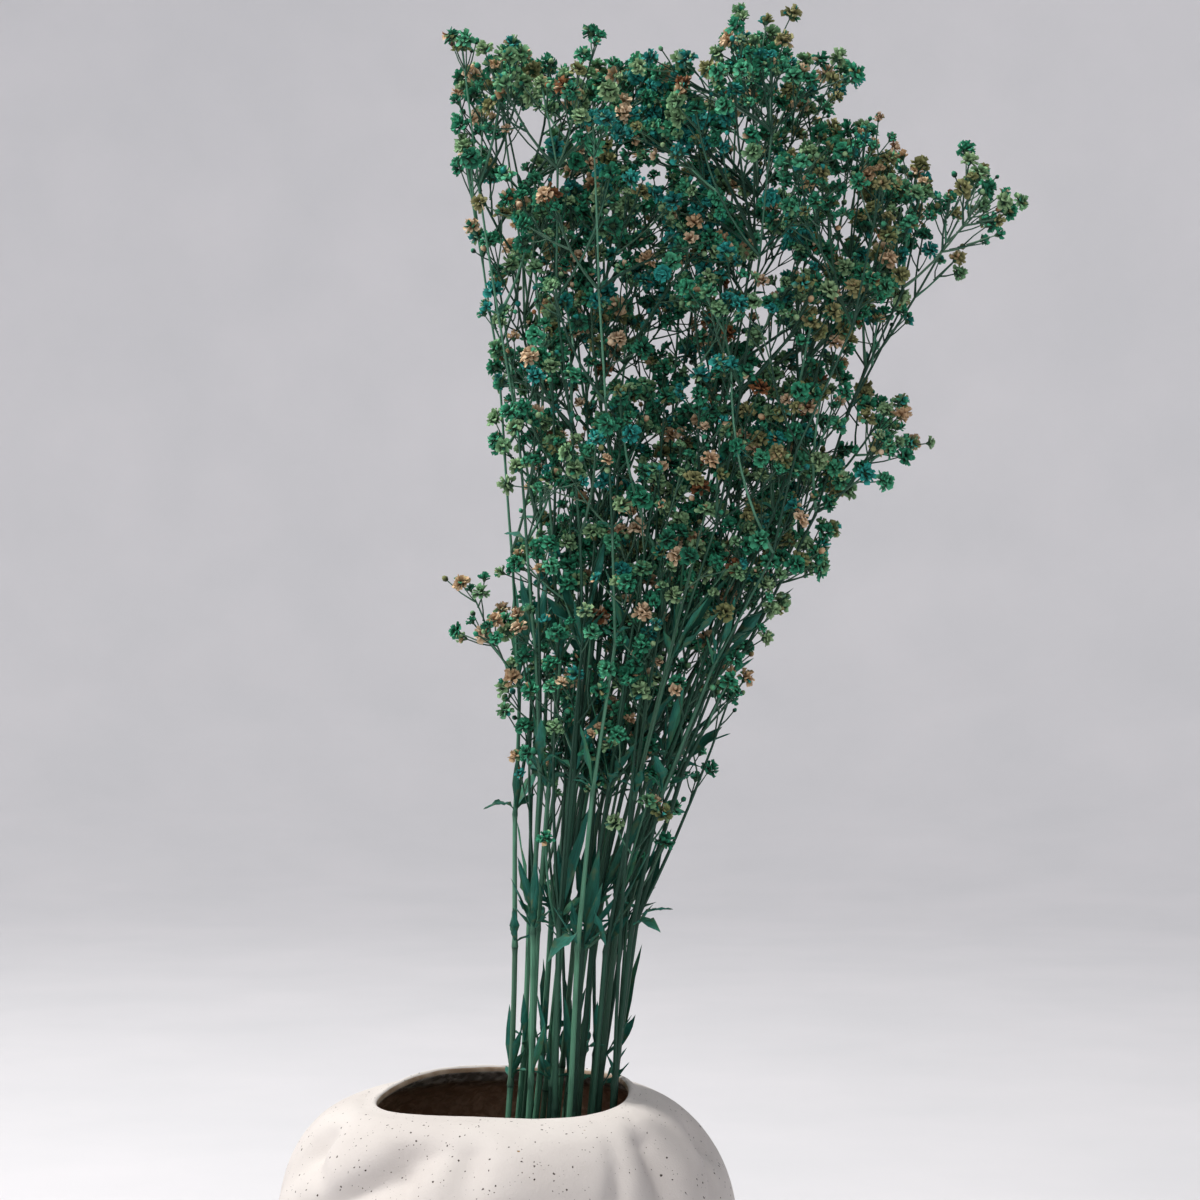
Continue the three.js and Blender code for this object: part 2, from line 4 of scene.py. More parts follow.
import math
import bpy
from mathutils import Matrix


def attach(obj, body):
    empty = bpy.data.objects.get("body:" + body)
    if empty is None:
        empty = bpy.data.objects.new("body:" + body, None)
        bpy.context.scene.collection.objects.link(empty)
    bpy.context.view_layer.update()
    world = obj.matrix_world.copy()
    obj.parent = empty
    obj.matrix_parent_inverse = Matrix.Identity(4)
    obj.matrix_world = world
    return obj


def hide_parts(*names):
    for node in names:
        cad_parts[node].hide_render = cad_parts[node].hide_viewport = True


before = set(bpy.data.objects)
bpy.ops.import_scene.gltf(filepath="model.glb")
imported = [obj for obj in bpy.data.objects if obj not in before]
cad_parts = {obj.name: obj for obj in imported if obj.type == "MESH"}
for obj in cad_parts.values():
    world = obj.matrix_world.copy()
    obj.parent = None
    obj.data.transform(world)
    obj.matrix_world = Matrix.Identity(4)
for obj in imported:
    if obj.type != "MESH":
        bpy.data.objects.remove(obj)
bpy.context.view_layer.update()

from types import SimpleNamespace

import bpy
import numpy as np
from mathutils import Vector, noise

# VASE
# A squat pebble of hand-built stoneware, pinched while soft, with a thin lip round an uneven mouth.
# Matt off-white glaze with iron specks outside; inside and under the foot the clay is bare and rough.
MM = 0.001
vase_profile = [
    [55, 0], [73, 9], [88, 38], [93.5, 80], [92, 110], [84.5, 130], [72, 144], [59, 150], [49.5, 151],
]
wall_thickness = 5.5
lip_thickness = 3.6
lip_roundness = 1.1
floor_thickness = 6
vase_sides = 180
outer_rows = 84
lip_steps = 6
inner_rows = 44
floor_share = 0.12
floor_rings = [0.9, 0.6, 0.3]
foot_rings = [0.97, 0.6, 0.25]
# Soft pinches pressed into the clay: azimuth, height, depth, half length, half breadth, lean
pinches = [
    [240, 134, 8.0, 26, 10, 35],
    [203, 137, 6.0, 15, 8, 60],
    [262, 138, 4.2, 8, 12, 0],
    [318, 132, 6.0, 26, 8, 80],
    [350, 135, 5.0, 10, 8, 10],
    [18, 118, 5.0, 24, 11, 50],
    [62, 130, 6.0, 22, 10, 140],
    [104, 112, 5.0, 26, 11, 30],
    [148, 132, 6.5, 24, 10, 120],
    [176, 92, 4.5, 28, 12, 70],
    [286, 84, 3.5, 28, 13, 20],
    [40, 62, 4.0, 30, 14, 110],
    [130, 55, 4.0, 30, 14, 60],
    [222, 60, 4.0, 30, 13, 130],
    [226, 124, 3.6, 24, 5, 35],
    [246, 126, 3.0, 18, 5, 120],
    [210, 132, 2.8, 14, 4, 150],
    [268, 118, 2.2, 18, 4.5, 15],
    [300, 121, 2.8, 22, 4, 70],
    [336, 116, 2.6, 18, 4, 60],
    [80, 118, 2.4, 20, 4, 120],
    [128, 124, 2.4, 20, 4, 50],
    [190, 112, 2.2, 18, 4, 100],
]
shoulder_radius = 84
# The lip stands a little higher at the back
lip_collar = 3.0


def smooth_share(x, low, high):
    t = min(1.0, max(0.0, (x - low) / (high - low)))
    return t * t * (3 - 2 * t)


# The half profile is a smooth curve through its points, wider steps taking more of it
def on_profile(share):
    count = len(vase_profile)
    place = (count - 1) * share
    low = min(int(place), count - 2)
    t = place - low
    row = [np.array(p, float) for p in vase_profile]
    before = row[low - 1] if low > 0 else 2 * row[0] - row[1]
    after = row[low + 2] if low + 2 < count else 2 * row[-1] - row[-2]
    p0, p1, p2, p3 = before, row[low], row[low + 1], after
    step0, step1, step2 = [math.sqrt(math.dist(a, b)) for a, b in ((p0, p1), (p1, p2), (p2, p3))]
    t1 = ((p1 - p0) / step0 - (p2 - p0) / (step0 + step1) + (p2 - p1) / step1) * step1
    t2 = ((p2 - p1) / step1 - (p3 - p1) / (step1 + step2) + (p3 - p2) / step2) * step1
    return p1 + t1 * t + (3 * (p2 - p1) - 2 * t1 - t2) * t * t + (2 * (p1 - p2) + t1 + t2) * t * t * t


def pinch_depth(azimuth, height):
    depth = 0
    for middle, level, deepest, half_length, half_breadth, lean in pinches:
        turn = (math.degrees(azimuth) - middle + 540) % 360 - 180
        sideways = math.radians(turn) * shoulder_radius
        upwards = height - level
        tilt = math.radians(lean)
        lengthways = sideways * math.cos(tilt) + upwards * math.sin(tilt)
        across = upwards * math.cos(tilt) - sideways * math.sin(tilt)
        depth += deepest * math.exp(-((lengthways / half_length) ** 2) - (across / half_breadth) ** 2)
    return depth * smooth_share(height, 4, 30) * (1 - smooth_share(height, 142, 150))


# A point of the wall: share runs from the foot's edge to the lip, inset is measured into the clay
def wall_point(share, line, azimuth, inset, beyond=0.0):
    (x, z), (ahead_x, ahead_z) = line
    pressed = inset + pinch_depth(azimuth, z)
    near_mouth = smooth_share(share, 0.68, 1)
    mouth_wave = 0.035 * math.cos(2 * azimuth) + 0.03 * math.cos(3 * azimuth + 2.2)
    lip_tilt = 1.3 * math.sin(azimuth) + 1.1 * math.cos(azimuth - 0.3)
    lip_wave = lip_tilt + 0.9 * math.cos(3 * azimuth - 0.6)
    at_back = smooth_share(math.sin(azimuth + 0.25), -0.3, 0.75)
    collar = lip_collar * (0.12 + 0.88 * at_back) * smooth_share(share, 0.935, 1)
    radius = (x - pressed * ahead_z + beyond * ahead_x) * (1 + near_mouth * mouth_wave)
    height = z + pressed * ahead_x + beyond * ahead_z + near_mouth * lip_wave + collar
    return [radius * math.cos(azimuth), radius * math.sin(azimuth), height]


def wall_ring(share, inset, beyond=0.0, roughness=0.0):
    low, high = on_profile(max(0, share - 0.0001)), on_profile(min(1, share + 0.0001))
    line = (on_profile(share), (high - low) / math.dist(high, low))
    ring = []
    for side in range(vase_sides):
        azimuth = side / vase_sides * 2 * math.pi
        spot = Vector((math.cos(azimuth), math.sin(azimuth), share * 1.7 + inset))
        hand = 0.22 * noise.noise(spot * 6) + 0.08 * noise.noise(spot * 19)
        grit = roughness * noise.noise(spot * 31)
        fade = smooth_share(share, 0, 0.06)
        ring.append(wall_point(share, line, azimuth, inset + fade * (hand + grit), beyond))
    return ring


# Every ring of the wall, from the middle of the foot over the lip to the middle of the floor
vase_rings = []
vase_slots = []
glaze, bare_edge, bare_inside = 0, 1, 2
foot = wall_ring(0, 0)
for shrink in reversed(foot_rings):
    vase_rings.append([[x * shrink, y * shrink, 0] for x, y, _ in foot])
    vase_slots.append(bare_inside)
for row in range(outer_rows + 1):
    vase_rings.append(wall_ring(row / outer_rows, 0))
    vase_slots.append(glaze)
for step in range(1, lip_steps + 1):
    turn = math.pi * step / lip_steps
    inset = lip_thickness / 2 * (1 - math.cos(turn))
    vase_rings.append(wall_ring(1, inset, lip_roundness * math.sin(turn)))
    vase_slots.append(glaze if step < 3 else bare_edge if step < 5 else bare_inside)
for row in range(1, inner_rows + 1):
    down = row / inner_rows
    inset = lip_thickness + (wall_thickness - lip_thickness) * min(1, down * 8 / 3)
    vase_rings.append(wall_ring(1 + (floor_share - 1) * down, inset, 0, 0.5 * min(1, 4 * down)))
    vase_slots.append(bare_inside)
last = vase_rings[-1]
for shrink in floor_rings:
    vase_rings.append([[x * shrink, y * shrink, floor_thickness] for x, y, _ in last])
    vase_slots.append(bare_inside)


def new_object(name, points, triangles, slots, materials, sharp_angle, uv=None):
    mesh = bpy.data.meshes.new(name)
    mesh.from_pydata(np.asarray(points) * MM, [], np.asarray(triangles))
    mesh.polygons.foreach_set("material_index", np.asarray(slots, dtype=np.int32))
    mesh.polygons.foreach_set("use_smooth", np.ones(len(mesh.polygons), dtype=bool))
    if uv is not None:
        corners = np.empty(len(mesh.loops), dtype=np.int32)
        mesh.loops.foreach_get("vertex_index", corners)
        layer = mesh.uv_layers.new(name="OFBake")
        layer.uv.foreach_set("vector", np.asarray(uv, dtype=np.float32)[corners].ravel())
    for material in materials:
        mesh.materials.append(material)
    mesh.update()
    mesh.set_sharp_from_angle(angle=math.radians(sharp_angle))
    piece = bpy.data.objects.new(name, mesh)
    bpy.context.scene.collection.objects.link(piece)
    return piece


# The triangles between each ring of a stack and the next, for rings whose points follow one another
def bands(rings, sides, first=0):
    ring, side = np.divmod(np.arange((rings - 1) * sides), sides)
    here = first + ring * sides + side
    after = first + ring * sides + (side + 1) % sides
    return np.stack([here, after, after + sides, here, after + sides, here + sides], 1).reshape(-1, 3)


# The triangles that close a stack, round a point at its foot and one at its head that follow the rings
def end_fans(rings, sides):
    side = np.arange(sides)
    after = (side + 1) % sides
    middle = np.full(sides, rings * sides)
    last = (rings - 1) * sides
    foot = np.stack([middle, after, side], 1)
    head = np.stack([middle + 1, last + side, last + after], 1)
    return np.concatenate([foot, head])


vase_points = [point for ring in vase_rings for point in ring] + [[0, 0, 0], [0, 0, floor_thickness]]
vase_faces = np.concatenate([bands(len(vase_rings), vase_sides), end_fans(len(vase_rings), vase_sides)])
face_slots = np.repeat(vase_slots[1:] + [bare_inside], 2 * vase_sides)


def linear(code):
    values = [int(code[place:place + 2], 16) / 255 for place in (1, 3, 5)]
    return [v / 12.92 if v <= 0.04045 else ((v + 0.055) / 1.055) ** 2.4 for v in values] + [1]


# A new material: gives back the material and a way to add and join its nodes
def new_material(name, roughness):
    material = bpy.data.materials.new(name)
    material.use_nodes = True
    tree = material.node_tree
    shader = tree.nodes["Principled BSDF"]
    shader.inputs["Roughness"].default_value = roughness

    def add(kind, sources=(), **settings):
        node = tree.nodes.new(kind)
        for key, value in settings.items():
            setattr(node, key, value)
        for socket, source in sources:
            if isinstance(source, bpy.types.NodeSocket):
                tree.links.new(source, node.inputs[socket])
            else:
                node.inputs[socket].default_value = source
        return node

    def join(source, socket):
        tree.links.new(source, shader.inputs[socket])

    return material, add, join


def mixed(add, share, first, second):
    node = add("ShaderNodeMix", data_type="RGBA")
    for socket, value in ((node.inputs[0], share), (node.inputs[6], first), (node.inputs[7], second)):
        if isinstance(value, bpy.types.NodeSocket):
            node.id_data.links.new(value, socket)
        else:
            socket.default_value = value
    return node.outputs[2]


def ranged(add, value, low, high, to_low=0.0, to_high=1.0):
    sources = ((0, value), (1, low), (2, high), (3, to_low), (4, to_high))
    return add("ShaderNodeMapRange", sources).outputs[0]


def maths(add, operation, a, b):
    return add("ShaderNodeMath", ((0, a), (1, b)), operation=operation).outputs[0]


def grain(add, place, scale, detail=2.0, distortion=0.0):
    sources = (("Vector", place), ("Scale", scale), ("Detail", detail), ("Distortion", distortion))
    return add("ShaderNodeTexNoise", sources).outputs["Fac"]


def roughen(add, join, height, strength, depth):
    sources = (("Height", height), ("Strength", strength), ("Distance", depth))
    join(add("ShaderNodeBump", sources).outputs[0], "Normal")


# Iron specks: one in some cells of a cell pattern, each of its own size
def specks(add, place, cells, rarest, largest):
    cell = add("ShaderNodeTexVoronoi", (("Vector", place), ("Scale", cells)))
    chance = add("ShaderNodeSeparateColor", ((0, cell.outputs["Color"]),)).outputs[0]
    size = ranged(add, chance, rarest, 1.0, -0.02, largest)
    inside = maths(add, "SUBTRACT", size, cell.outputs["Distance"])
    return ranged(add, inside, 0.0, 0.03)


glaze_material, add, join = new_material("speckled_matt_glaze", 0.78)
place = add("ShaderNodeTexCoord").outputs["Object"]
wobble = add("ShaderNodeTexNoise", (("Vector", place), ("Scale", 900.0)))
sources = ((0, 0.0012), (4, place), (5, wobble.outputs["Color"]))
bent = add("ShaderNodeMix", sources, data_type="VECTOR").outputs[1]
cloud = ranged(add, grain(add, place, 22.0, 4.0), 0.3, 0.7)
coat = mixed(add, cloud, linear("#cfc8c3"), linear("#ded8d3"))
flecked = mixed(add, specks(add, bent, 420.0, 0.35, 0.22), coat, linear("#3e332c"))
flecked = mixed(add, specks(add, bent, 720.0, 0.45, 0.2), flecked, linear("#6a6059"))
flecked = mixed(add, specks(add, bent, 120.0, 0.86, 0.12), flecked, linear("#8a6a35"))
join(flecked, "Base Color")
join(ranged(add, cloud, 0.0, 1.0, 0.72, 0.86), "Roughness")
grit = maths(add, "MULTIPLY", grain(add, place, 240.0, 3.0), 1.5)
skin = maths(add, "ADD", grain(add, place, 1400.0, 2.0), grit)
roughen(add, join, skin, 0.3, 0.0003)

edge_material, add, join = new_material("bare_clay_at_lip", 0.85)
place = add("ShaderNodeTexCoord").outputs["Object"]
patch = ranged(add, grain(add, place, 160.0, 3.0), 0.35, 0.65)
join(mixed(add, patch, linear("#a78a70"), linear("#cbb49d")), "Base Color")
roughen(add, join, grain(add, place, 1500.0), 0.3, 0.0003)

inside_material, add, join = new_material("bare_clay_inside_with_painted_shade", 0.95)
place = add("ShaderNodeTexCoord").outputs["Object"]
height = add("ShaderNodeSeparateXYZ", ((0, place),)).outputs[2]
mottle_and_painted_dapples = ranged(add, grain(add, place, 260.0, 4.0, 0.6), 0.42, 0.62)
# Painted shade: the band just under the lip is painted grey as shade, with lighter dapples of painted light;
# below it the bare clay is brown with a mottle, and the same noise roughens the surface
upper = mixed(add, mottle_and_painted_dapples, linear("#6d655f"), linear("#aaa29b"))
lower = mixed(add, mottle_and_painted_dapples, linear("#96765f"), linear("#ad8d76"))
join(mixed(add, ranged(add, height, 0.143, 0.149), lower, upper), "Base Color")
pitted = maths(add, "ADD", grain(add, place, 700.0, 4.0), mottle_and_painted_dapples)
roughen(add, join, pitted, 0.6, 0.0006)

vase_materials = [glaze_material, edge_material, inside_material]
vase = new_object("pinched_vase", vase_points, vase_faces, face_slots, vase_materials, 50)
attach(vase, "root")
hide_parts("vase")

# MAIN STEMS
# Twenty-four dried stems stand on the vase's floor and lean on the right side of its mouth.
# Straight between swollen joints, with a small bend at each; every piece keeps clear of those placed before.
stem_count = 24
stem_foot = floor_thickness + 0.3
# Height, middle of the bunch in X, half its width, half its depth
bunch_shape = [
    [0, 12, 27, 22], [150, 23.5, 23, 17.5], [237, 31, 29, 22], [309, 47, 43, 31], [373, 65, 64, 41],
    [401, 68, 67, 45], [441, 73, 76, 50], [470, 78, 85, 54], [500, 80, 90, 57], [530, 79, 96, 60],
    [600, 77, 104, 62],
]
# In the flowering part the stems spread more evenly from side to side
even_spread = [280, 440]
# Top line of the bunch, as X and height
top_line = [
    [-30, 560], [-12, 574], [20, 566], [54, 560], [74, 556], [92, 566], [112, 576], [126, 556],
    [140, 540], [160, 528], [175, 500],
]
tip_margin = 3
tall_stem = 3
tall_stem_rise = 27
# How far below the top line every third stem ends
short_stem_falls = [70, 130]
twist_at_foot = 0.75
twist_ends = 400
long_internode = 78
short_internode = 46
short_from = 350
stem_radius_at_foot = 1.55
stem_radius_at_top = 0.65
stem_collar = 3
clearance = 0.45
own_clearance = 0.3
bloom_width = 6.6
half_open_width = 4.8


# Even, repeatable draws between 0 and 1
def seeded_draws(seed):
    state = [seed & 0xFFFFFFFF]

    def draw():
        state[0] = (state[0] + 0x6D2B79F5) & 0xFFFFFFFF
        s = state[0]
        m = ((s ^ (s >> 15)) * (s | 1)) & 0xFFFFFFFF
        m ^= (m + (m ^ (m >> 7)) * (m | 61)) & 0xFFFFFFFF
        return (m ^ (m >> 14)) / 4294967296

    return draw


def between(a, b, share):
    return a + (b - a) * share


def values_at(table, x):
    row = 1
    while row < len(table) - 1 and table[row][0] < x:
        row += 1
    before, after = table[row - 1], table[row]
    share = min(1.0, max(0.0, (x - before[0]) / (after[0] - before[0])))
    return [between(value, after[column + 1], share) for column, value in enumerate(before[1:])]


def unit(v):
    return v / math.sqrt(v @ v)


# Room in the bunch: the ends, radii and spray of every stretch that has its place already
most_stretches = 60000
room = SimpleNamespace(
    count=0,
    starts=np.zeros((most_stretches, 3)),
    ends=np.zeros((most_stretches, 3)),
    middles=np.zeros((most_stretches, 3)),
    radii=np.zeros(most_stretches),
    reaches=np.zeros(most_stretches),
    sprays=np.zeros(most_stretches, dtype=int),
)


def stretches_of(points, radii):
    return [(points[n], points[n + 1], max(radii[n], radii[n + 1])) for n in range(len(points) - 1)]


def keep_room(space, spray):
    for start, end, radius in space:
        row = room.count
        room.starts[row] = start
        room.ends[row] = end
        room.middles[row] = (start + end) / 2
        room.radii[row] = radius
        room.reaches[row] = math.dist(start, end) / 2 + radius
        room.sprays[row] = spray
        room.count += 1


# The stretches in the room that pass near a new piece
def rows_near(space):
    ends = np.array([point for start, end, _ in space for point in (start, end)])
    low, high = ends.min(0), ends.max(0)
    reach = math.dist(low, high) / 2 + max(radius for _, _, radius in space) + 1
    away = room.middles[:room.count] - (low + high) / 2
    return np.flatnonzero((away * away).sum(1) < (room.reaches[:room.count] + reach) ** 2)


# Shortest distance from a stretch to some that are in the room, less both radii
def gaps_to_room(start, end, radius, rows):
    starts, ends = room.starts[rows], room.ends[rows]
    u = end - start
    v = ends - starts
    w = start - starts
    uu, vv, uv, uw, vw = u @ u, (v * v).sum(1), v @ u, w @ u, (v * w).sum(1)
    spread = uu * vv - uv * uv
    safe_spread = np.where(spread > 1e-9, spread, 1)
    safe_vv = np.where(vv > 1e-9, vv, 1)
    s = np.where(spread > 1e-9, np.clip((uv * vw - vv * uw) / safe_spread, 0, 1), 0)
    t = np.where(vv > 1e-9, (uv * s + vw) / safe_vv, 0)
    past = (t < 0) | (t > 1) | (vv <= 1e-9)
    t = np.where(past, np.clip(t, 0, 1), t)
    along = np.clip((uv * t - uw) / uu, 0, 1) if uu > 1e-9 else np.zeros(len(t))
    s = np.where(past, along, s)
    apart = w + s[:, None] * u - t[:, None] * v
    return np.sqrt((apart * apart).sum(1)) - radius - room.radii[rows]


# Takes the room for a new piece if it is free: its first millimetres lie in the stem that it grows from
def take_room(space, spray, root, free_foot, gap_to_others=clearance, gap_to_own=own_clearance):
    rows = rows_near(space)
    own = room.sprays[rows] == spray
    for start, end, radius in space:
        if (gaps_to_room(start, end, radius, rows[~own]) <= gap_to_others).any():
            return False
        length = math.dist(start, end)
        share = min(0.95, max(0.0, (free_foot - math.dist(start, root)) / max(length, 1e-6)))
        past_foot = start + (end - start) * share
        if (gaps_to_room(past_foot, end, radius, rows[own]) <= gap_to_own).any():
            return False
    keep_room(space, spray)
    return True


def bloom_space(before, tip, width):
    middle = tip + unit(tip - before) * width * 0.34
    return (middle, middle, width * 0.5)


# Where a stem stands at a height: its spot on a disc, turned, stretched and shifted with the bunch
def stem_place(spray, height, sway_x, sway_y):
    reach = 0.96 * math.sqrt((spray + 0.5) / stem_count)
    twist = twist_at_foot * max(0, 1 - height / twist_ends)
    turn = spray * math.pi * (3 - math.sqrt(5)) + 0.35 + twist
    middle, half_width, half_depth = values_at(bunch_shape, height)
    sideways = reach * math.cos(turn)
    even = smooth_share(height, *even_spread)
    x = middle + half_width * (between(sideways, math.sin(sideways * math.pi / 2), even) + sway_x)
    y = half_depth * (reach * math.sin(turn) + sway_y)
    return np.array([x, y, height])


def grow_stem(spray):
    draw = seeded_draws(100 + spray)
    crown = stem_place(spray, 540, 0, 0)
    top_height = values_at(top_line, crown[0])[0]
    shorter = between(*short_stem_falls, draw()) if spray % 3 == 1 and spray < 18 else 24 * draw()
    rise = tall_stem_rise if spray == tall_stem else 0
    top = top_height - shorter - 0.004 * crown[1] * crown[1] + rise
    points = []
    height = stem_foot
    while height < top - 0.6 * short_internode:
        sway = 0.02 if height < 200 else 0.04
        sway_x = sway * (2 * draw() - 1)
        sway_y = sway * (2 * draw() - 1)
        points.append(stem_place(spray, height, sway_x, sway_y))
        internode = between(long_internode, short_internode, min(1, height / short_from))
        height += internode * (0.85 + 0.3 * draw())
    points.append(stem_place(spray, top, 0, 0))
    shares = [(p[2] - stem_foot) / (top - stem_foot) for p in points]
    radii = [between(stem_radius_at_foot, stem_radius_at_top, share) for share in shares]
    return SimpleNamespace(spray=spray, points=points, radii=radii, bloom=bloom_width)


sprays = []
for spray in range(stem_count):
    grown = SimpleNamespace(stem=grow_stem(spray), branches=[], leaves=[])
    grown.late, grown.bracts, grown.pedicels = [], [], []
    sprays.append(grown)
for spray in sprays:
    stem = spray.stem
    keep_room(stretches_of(stem.points, [r * 1.3 for r in stem.radii]), stem.spray)
    keep_room([bloom_space(stem.points[-2], stem.points[-1], stem.bloom)], stem.spray)


# A spray's mesh while it is made: points, triangles, their slots and the place of each point on the colours
def new_body():
    return SimpleNamespace(points=[], faces=[], slots=[], uv=[], count=0)


def add_to(body, points, faces, slot, uv):
    body.points.append(points)
    body.faces.append(faces + body.count)
    body.slots.append(np.full(len(faces), slot))
    body.uv.append(uv)
    body.count += len(points)


# Colour strips: petals, calyces, leaves and stems each have their own strip across the colours
petal_strip = [0.01, 0.60]
calyx_strip = [0.65, 0.72]
leaf_strip = [0.76, 0.85]
stem_strip = [0.89, 0.97]
stem_slot, petal_slot, leaf_slot = 0, 1, 2


# A closed tube through points, with a radius, a tone and a place along the colours at each
def add_tube(body, points, radii, sides, tone, along):
    points = np.array(points)
    radii = np.array(radii)
    count = len(points)
    ahead = np.empty_like(points)
    ahead[1:-1] = points[2:] - points[:-2]
    ahead[0], ahead[-1] = points[1] - points[0], points[-1] - points[-2]
    ahead /= np.sqrt((ahead * ahead).sum(1))[:, None]
    side = np.array([1.0, 0, 0]) if abs(ahead[0][0]) < 0.8 else np.array([0, 1.0, 0])
    rings = np.empty((count, sides, 3))
    turns = np.arange(sides) / sides * 2 * math.pi
    for n in range(count):
        side = unit(side - ahead[n] * (side @ ahead[n]))
        other = np.cross(ahead[n], side)
        rings[n] = points[n] + radii[n] * (np.cos(turns)[:, None] * side + np.sin(turns)[:, None] * other)
    here = np.arange(sides)
    fan = np.stack([np.zeros(sides - 2, dtype=int), here[1:-1], here[2:]], 1)
    faces = np.concatenate([bands(count, sides), fan[:, ::-1], fan + (count - 1) * sides])
    low, high = stem_strip
    tones = low + (high - low) * (0.12 + 0.76 * np.broadcast_to(tone, count))
    uv = np.empty((count, sides, 2))
    uv[:, :, 0] = tones[:, None] + 0.008 * np.sin(turns)
    uv[:, :, 1] = np.array(along)[:, None]
    add_to(body, rings.reshape(-1, 3), faces, stem_slot, uv.reshape(-1, 2))
    return ahead[-1]


# Rings of a main stem: distance from the joint below, and how thick it is there
joint_swelling = [(0, 1.2), (1.2, 1.12), (3.2, 0.95)]
before_joint = [(3.4, 0.94), (1.2, 1.04)]
middle_shares = [0.35, 0.68]
slim_heights = [190, 400]
slimmest = 0.66


def add_main_stem(body, stem):
    draw = seeded_draws(20000 + stem.spray)
    points, radii, along, tones = [], [], [], []
    own_thickness = 0.9 + 0.16 * draw()
    for number in range(len(stem.points) - 1):
        low, high = stem.points[number], stem.points[number + 1]
        length = math.dist(low, high)
        ahead = (high - low) / length
        bow = np.cross(ahead, [math.cos(draw() * 6.28), math.sin(draw() * 6.28), 0]) * (draw() - 0.5) * 0.8
        tone = (stem.spray * 0.37 + 0.35 * (draw() - 0.5)) % 1
        spots = [(d / length, swell) for d, swell in joint_swelling]
        spots += [(share, 0.9) for share in middle_shares]
        spots += [(1 - d / length, swell) for d, swell in before_joint]
        for share, swell in spots:
            swell = 0.95 if number == 0 and share == 0 else swell
            points.append(low + ahead * share * length + bow * 4 * share * (1 - share))
            slim = own_thickness * between(1.0, slimmest, smooth_share(points[-1][2], *slim_heights))
            radii.append(between(stem.radii[number], stem.radii[number + 1], share) * swell * slim)
            along.append(0.03 + 0.94 * (1 - abs(2 * share - 1)))
            tones.append(tone)
    points.append(stem.points[-1])
    radii.append(stem.radii[-1] * 0.5)
    along.append(0.1)
    tones.append(tones[-1])
    ahead = add_tube(body, points, radii, 8, tones, along)
    add_bloom(body, stem.points[-1], ahead, stem.bloom, 30000 + stem.spray)


# A line that leaves its parent at an angle, bends back along it and ends in a bloom or a leaf's tip
def side_line(root, ahead, angle, azimuth, length, lift):
    side = np.array([math.cos(azimuth), math.sin(azimuth), 0.0])
    side = unit(side - ahead * (side @ ahead))
    outward = ahead * math.cos(angle) + side * math.sin(angle)
    lifted = unit(between(outward, ahead, lift))
    middle = root + outward * length * 0.45
    return [root, middle, middle + lifted * length * 0.55]


def on_line(line, t):
    return line[0] * (1 - t) ** 2 + line[1] * 2 * (1 - t) * t + line[2] * t * t


def line_tangent(line, t):
    low, high = max(0, t - 0.0001), min(1, t + 0.0001)
    return unit(on_line(line, high) - on_line(line, low))


def line_length(line):
    t = np.arange(201)[:, None] / 200
    points = line[0] * (1 - t) ** 2 + line[1] * 2 * (1 - t) * t + line[2] * t * t
    steps = points[1:] - points[:-1]
    return float(np.sqrt((steps * steps).sum(1)).sum())


def joint_near(stem, height):
    joints = range(1, len(stem.points) - 1)
    return min(joints, key=lambda joint: abs(stem.points[joint][2] - height))


def collar_at(stem, joint):
    ahead = unit(stem.points[joint + 1] - stem.points[joint])
    return stem.points[joint] + ahead * stem_collar / 2, ahead


# LOOSE SHOOTS AND LEAVES
# Shoots that stand clear of the bunch at its edges, and the narrow leaves left on the lower stems.
# Both grow from a joint; a leaf's dried blade is folded along its midrib and curls at its edges.
branch_radius = [0.8, 0.55]
twig_radius = [0.6, 0.48]
twig_length = [16, 27]
twig_collar = 1.8
first_ring = 5
free_foot = 4.5
free_leaf_foot = 5
# Stem, height of the joint, place of the tip, number of twigs, bow towards the stem
loose_shoots = [
    [22, 300, [-7, -7, 334], 4, 0.1],
    [18, 385, [148, -30, 411], 4, -0.3],
    [21, 400, [152, 6, 424], 2, -0.35],
    [18, 471, [188, -26, 507], 4, -0.2],
    [21, 450, [191, 6, 519], 4, -0.26],
]
# Stem, height of the joint, azimuth, length, width, angle, droop
leaf_list = [
    [12, 285, 10, 26, 6.0, 62, 0.3],
    [23, 235, -70, 22, 6.5, 40, 1.3],
    [18, 240, 250, 24, 5.5, 38, 0.7],
    [20, 212, 250, 34, 8.0, 45, 1.5],
    [22, 263, 220, 16, 5.0, 35, 1.6],
    [17, 281, -80, 28, 5.5, 26, 0.3],
    [15, 300, -40, 30, 5.5, 30, 0.0],
    [16, 250, 70, 30, 6.0, 32, 0.4],
    [11, 270, 110, 30, 6.0, 32, 0.5],
    [21, 235, 60, 24, 5.5, 35, 0.9],
    [8, 282, 40, 28, 5.5, 30, 0.2],
    [13, 281, -20, 28, 5.5, 28, 0.3],
    [7, 274, 250, 26, 5.5, 42, 0.8],
]
blade_shares = [0.28, 0.45, 0.66, 0.86]
blade_outline = [0.45, 1, 0.85, 0.4]


# One branch or twig, if there is room for it; its joints are the places along it where twigs leave
def grow_axis(spray, line, joints, radii, bloom):
    length = line_length(line)
    shares = [first_ring / (2 * math.dist(line[0], line[1]))] if joints else []
    for joint in joints:
        shares += [joint, joint + twig_collar / length]
    shares.append(1)
    points = [on_line(line, share) for share in shares]
    radius_at = [between(radii[0], radii[1], share) for share in shares]
    space = stretches_of([line[0]] + points, [radii[0]] + radius_at)
    space.append(bloom_space(([line[0]] + points)[-2], points[-1], bloom))
    if not take_room(space, spray, line[0], free_foot):
        return None
    grown = SimpleNamespace(spray=spray, line=line, length=length, points=points, radii=radii)
    grown.bloom, grown.twigs = bloom, []
    return grown


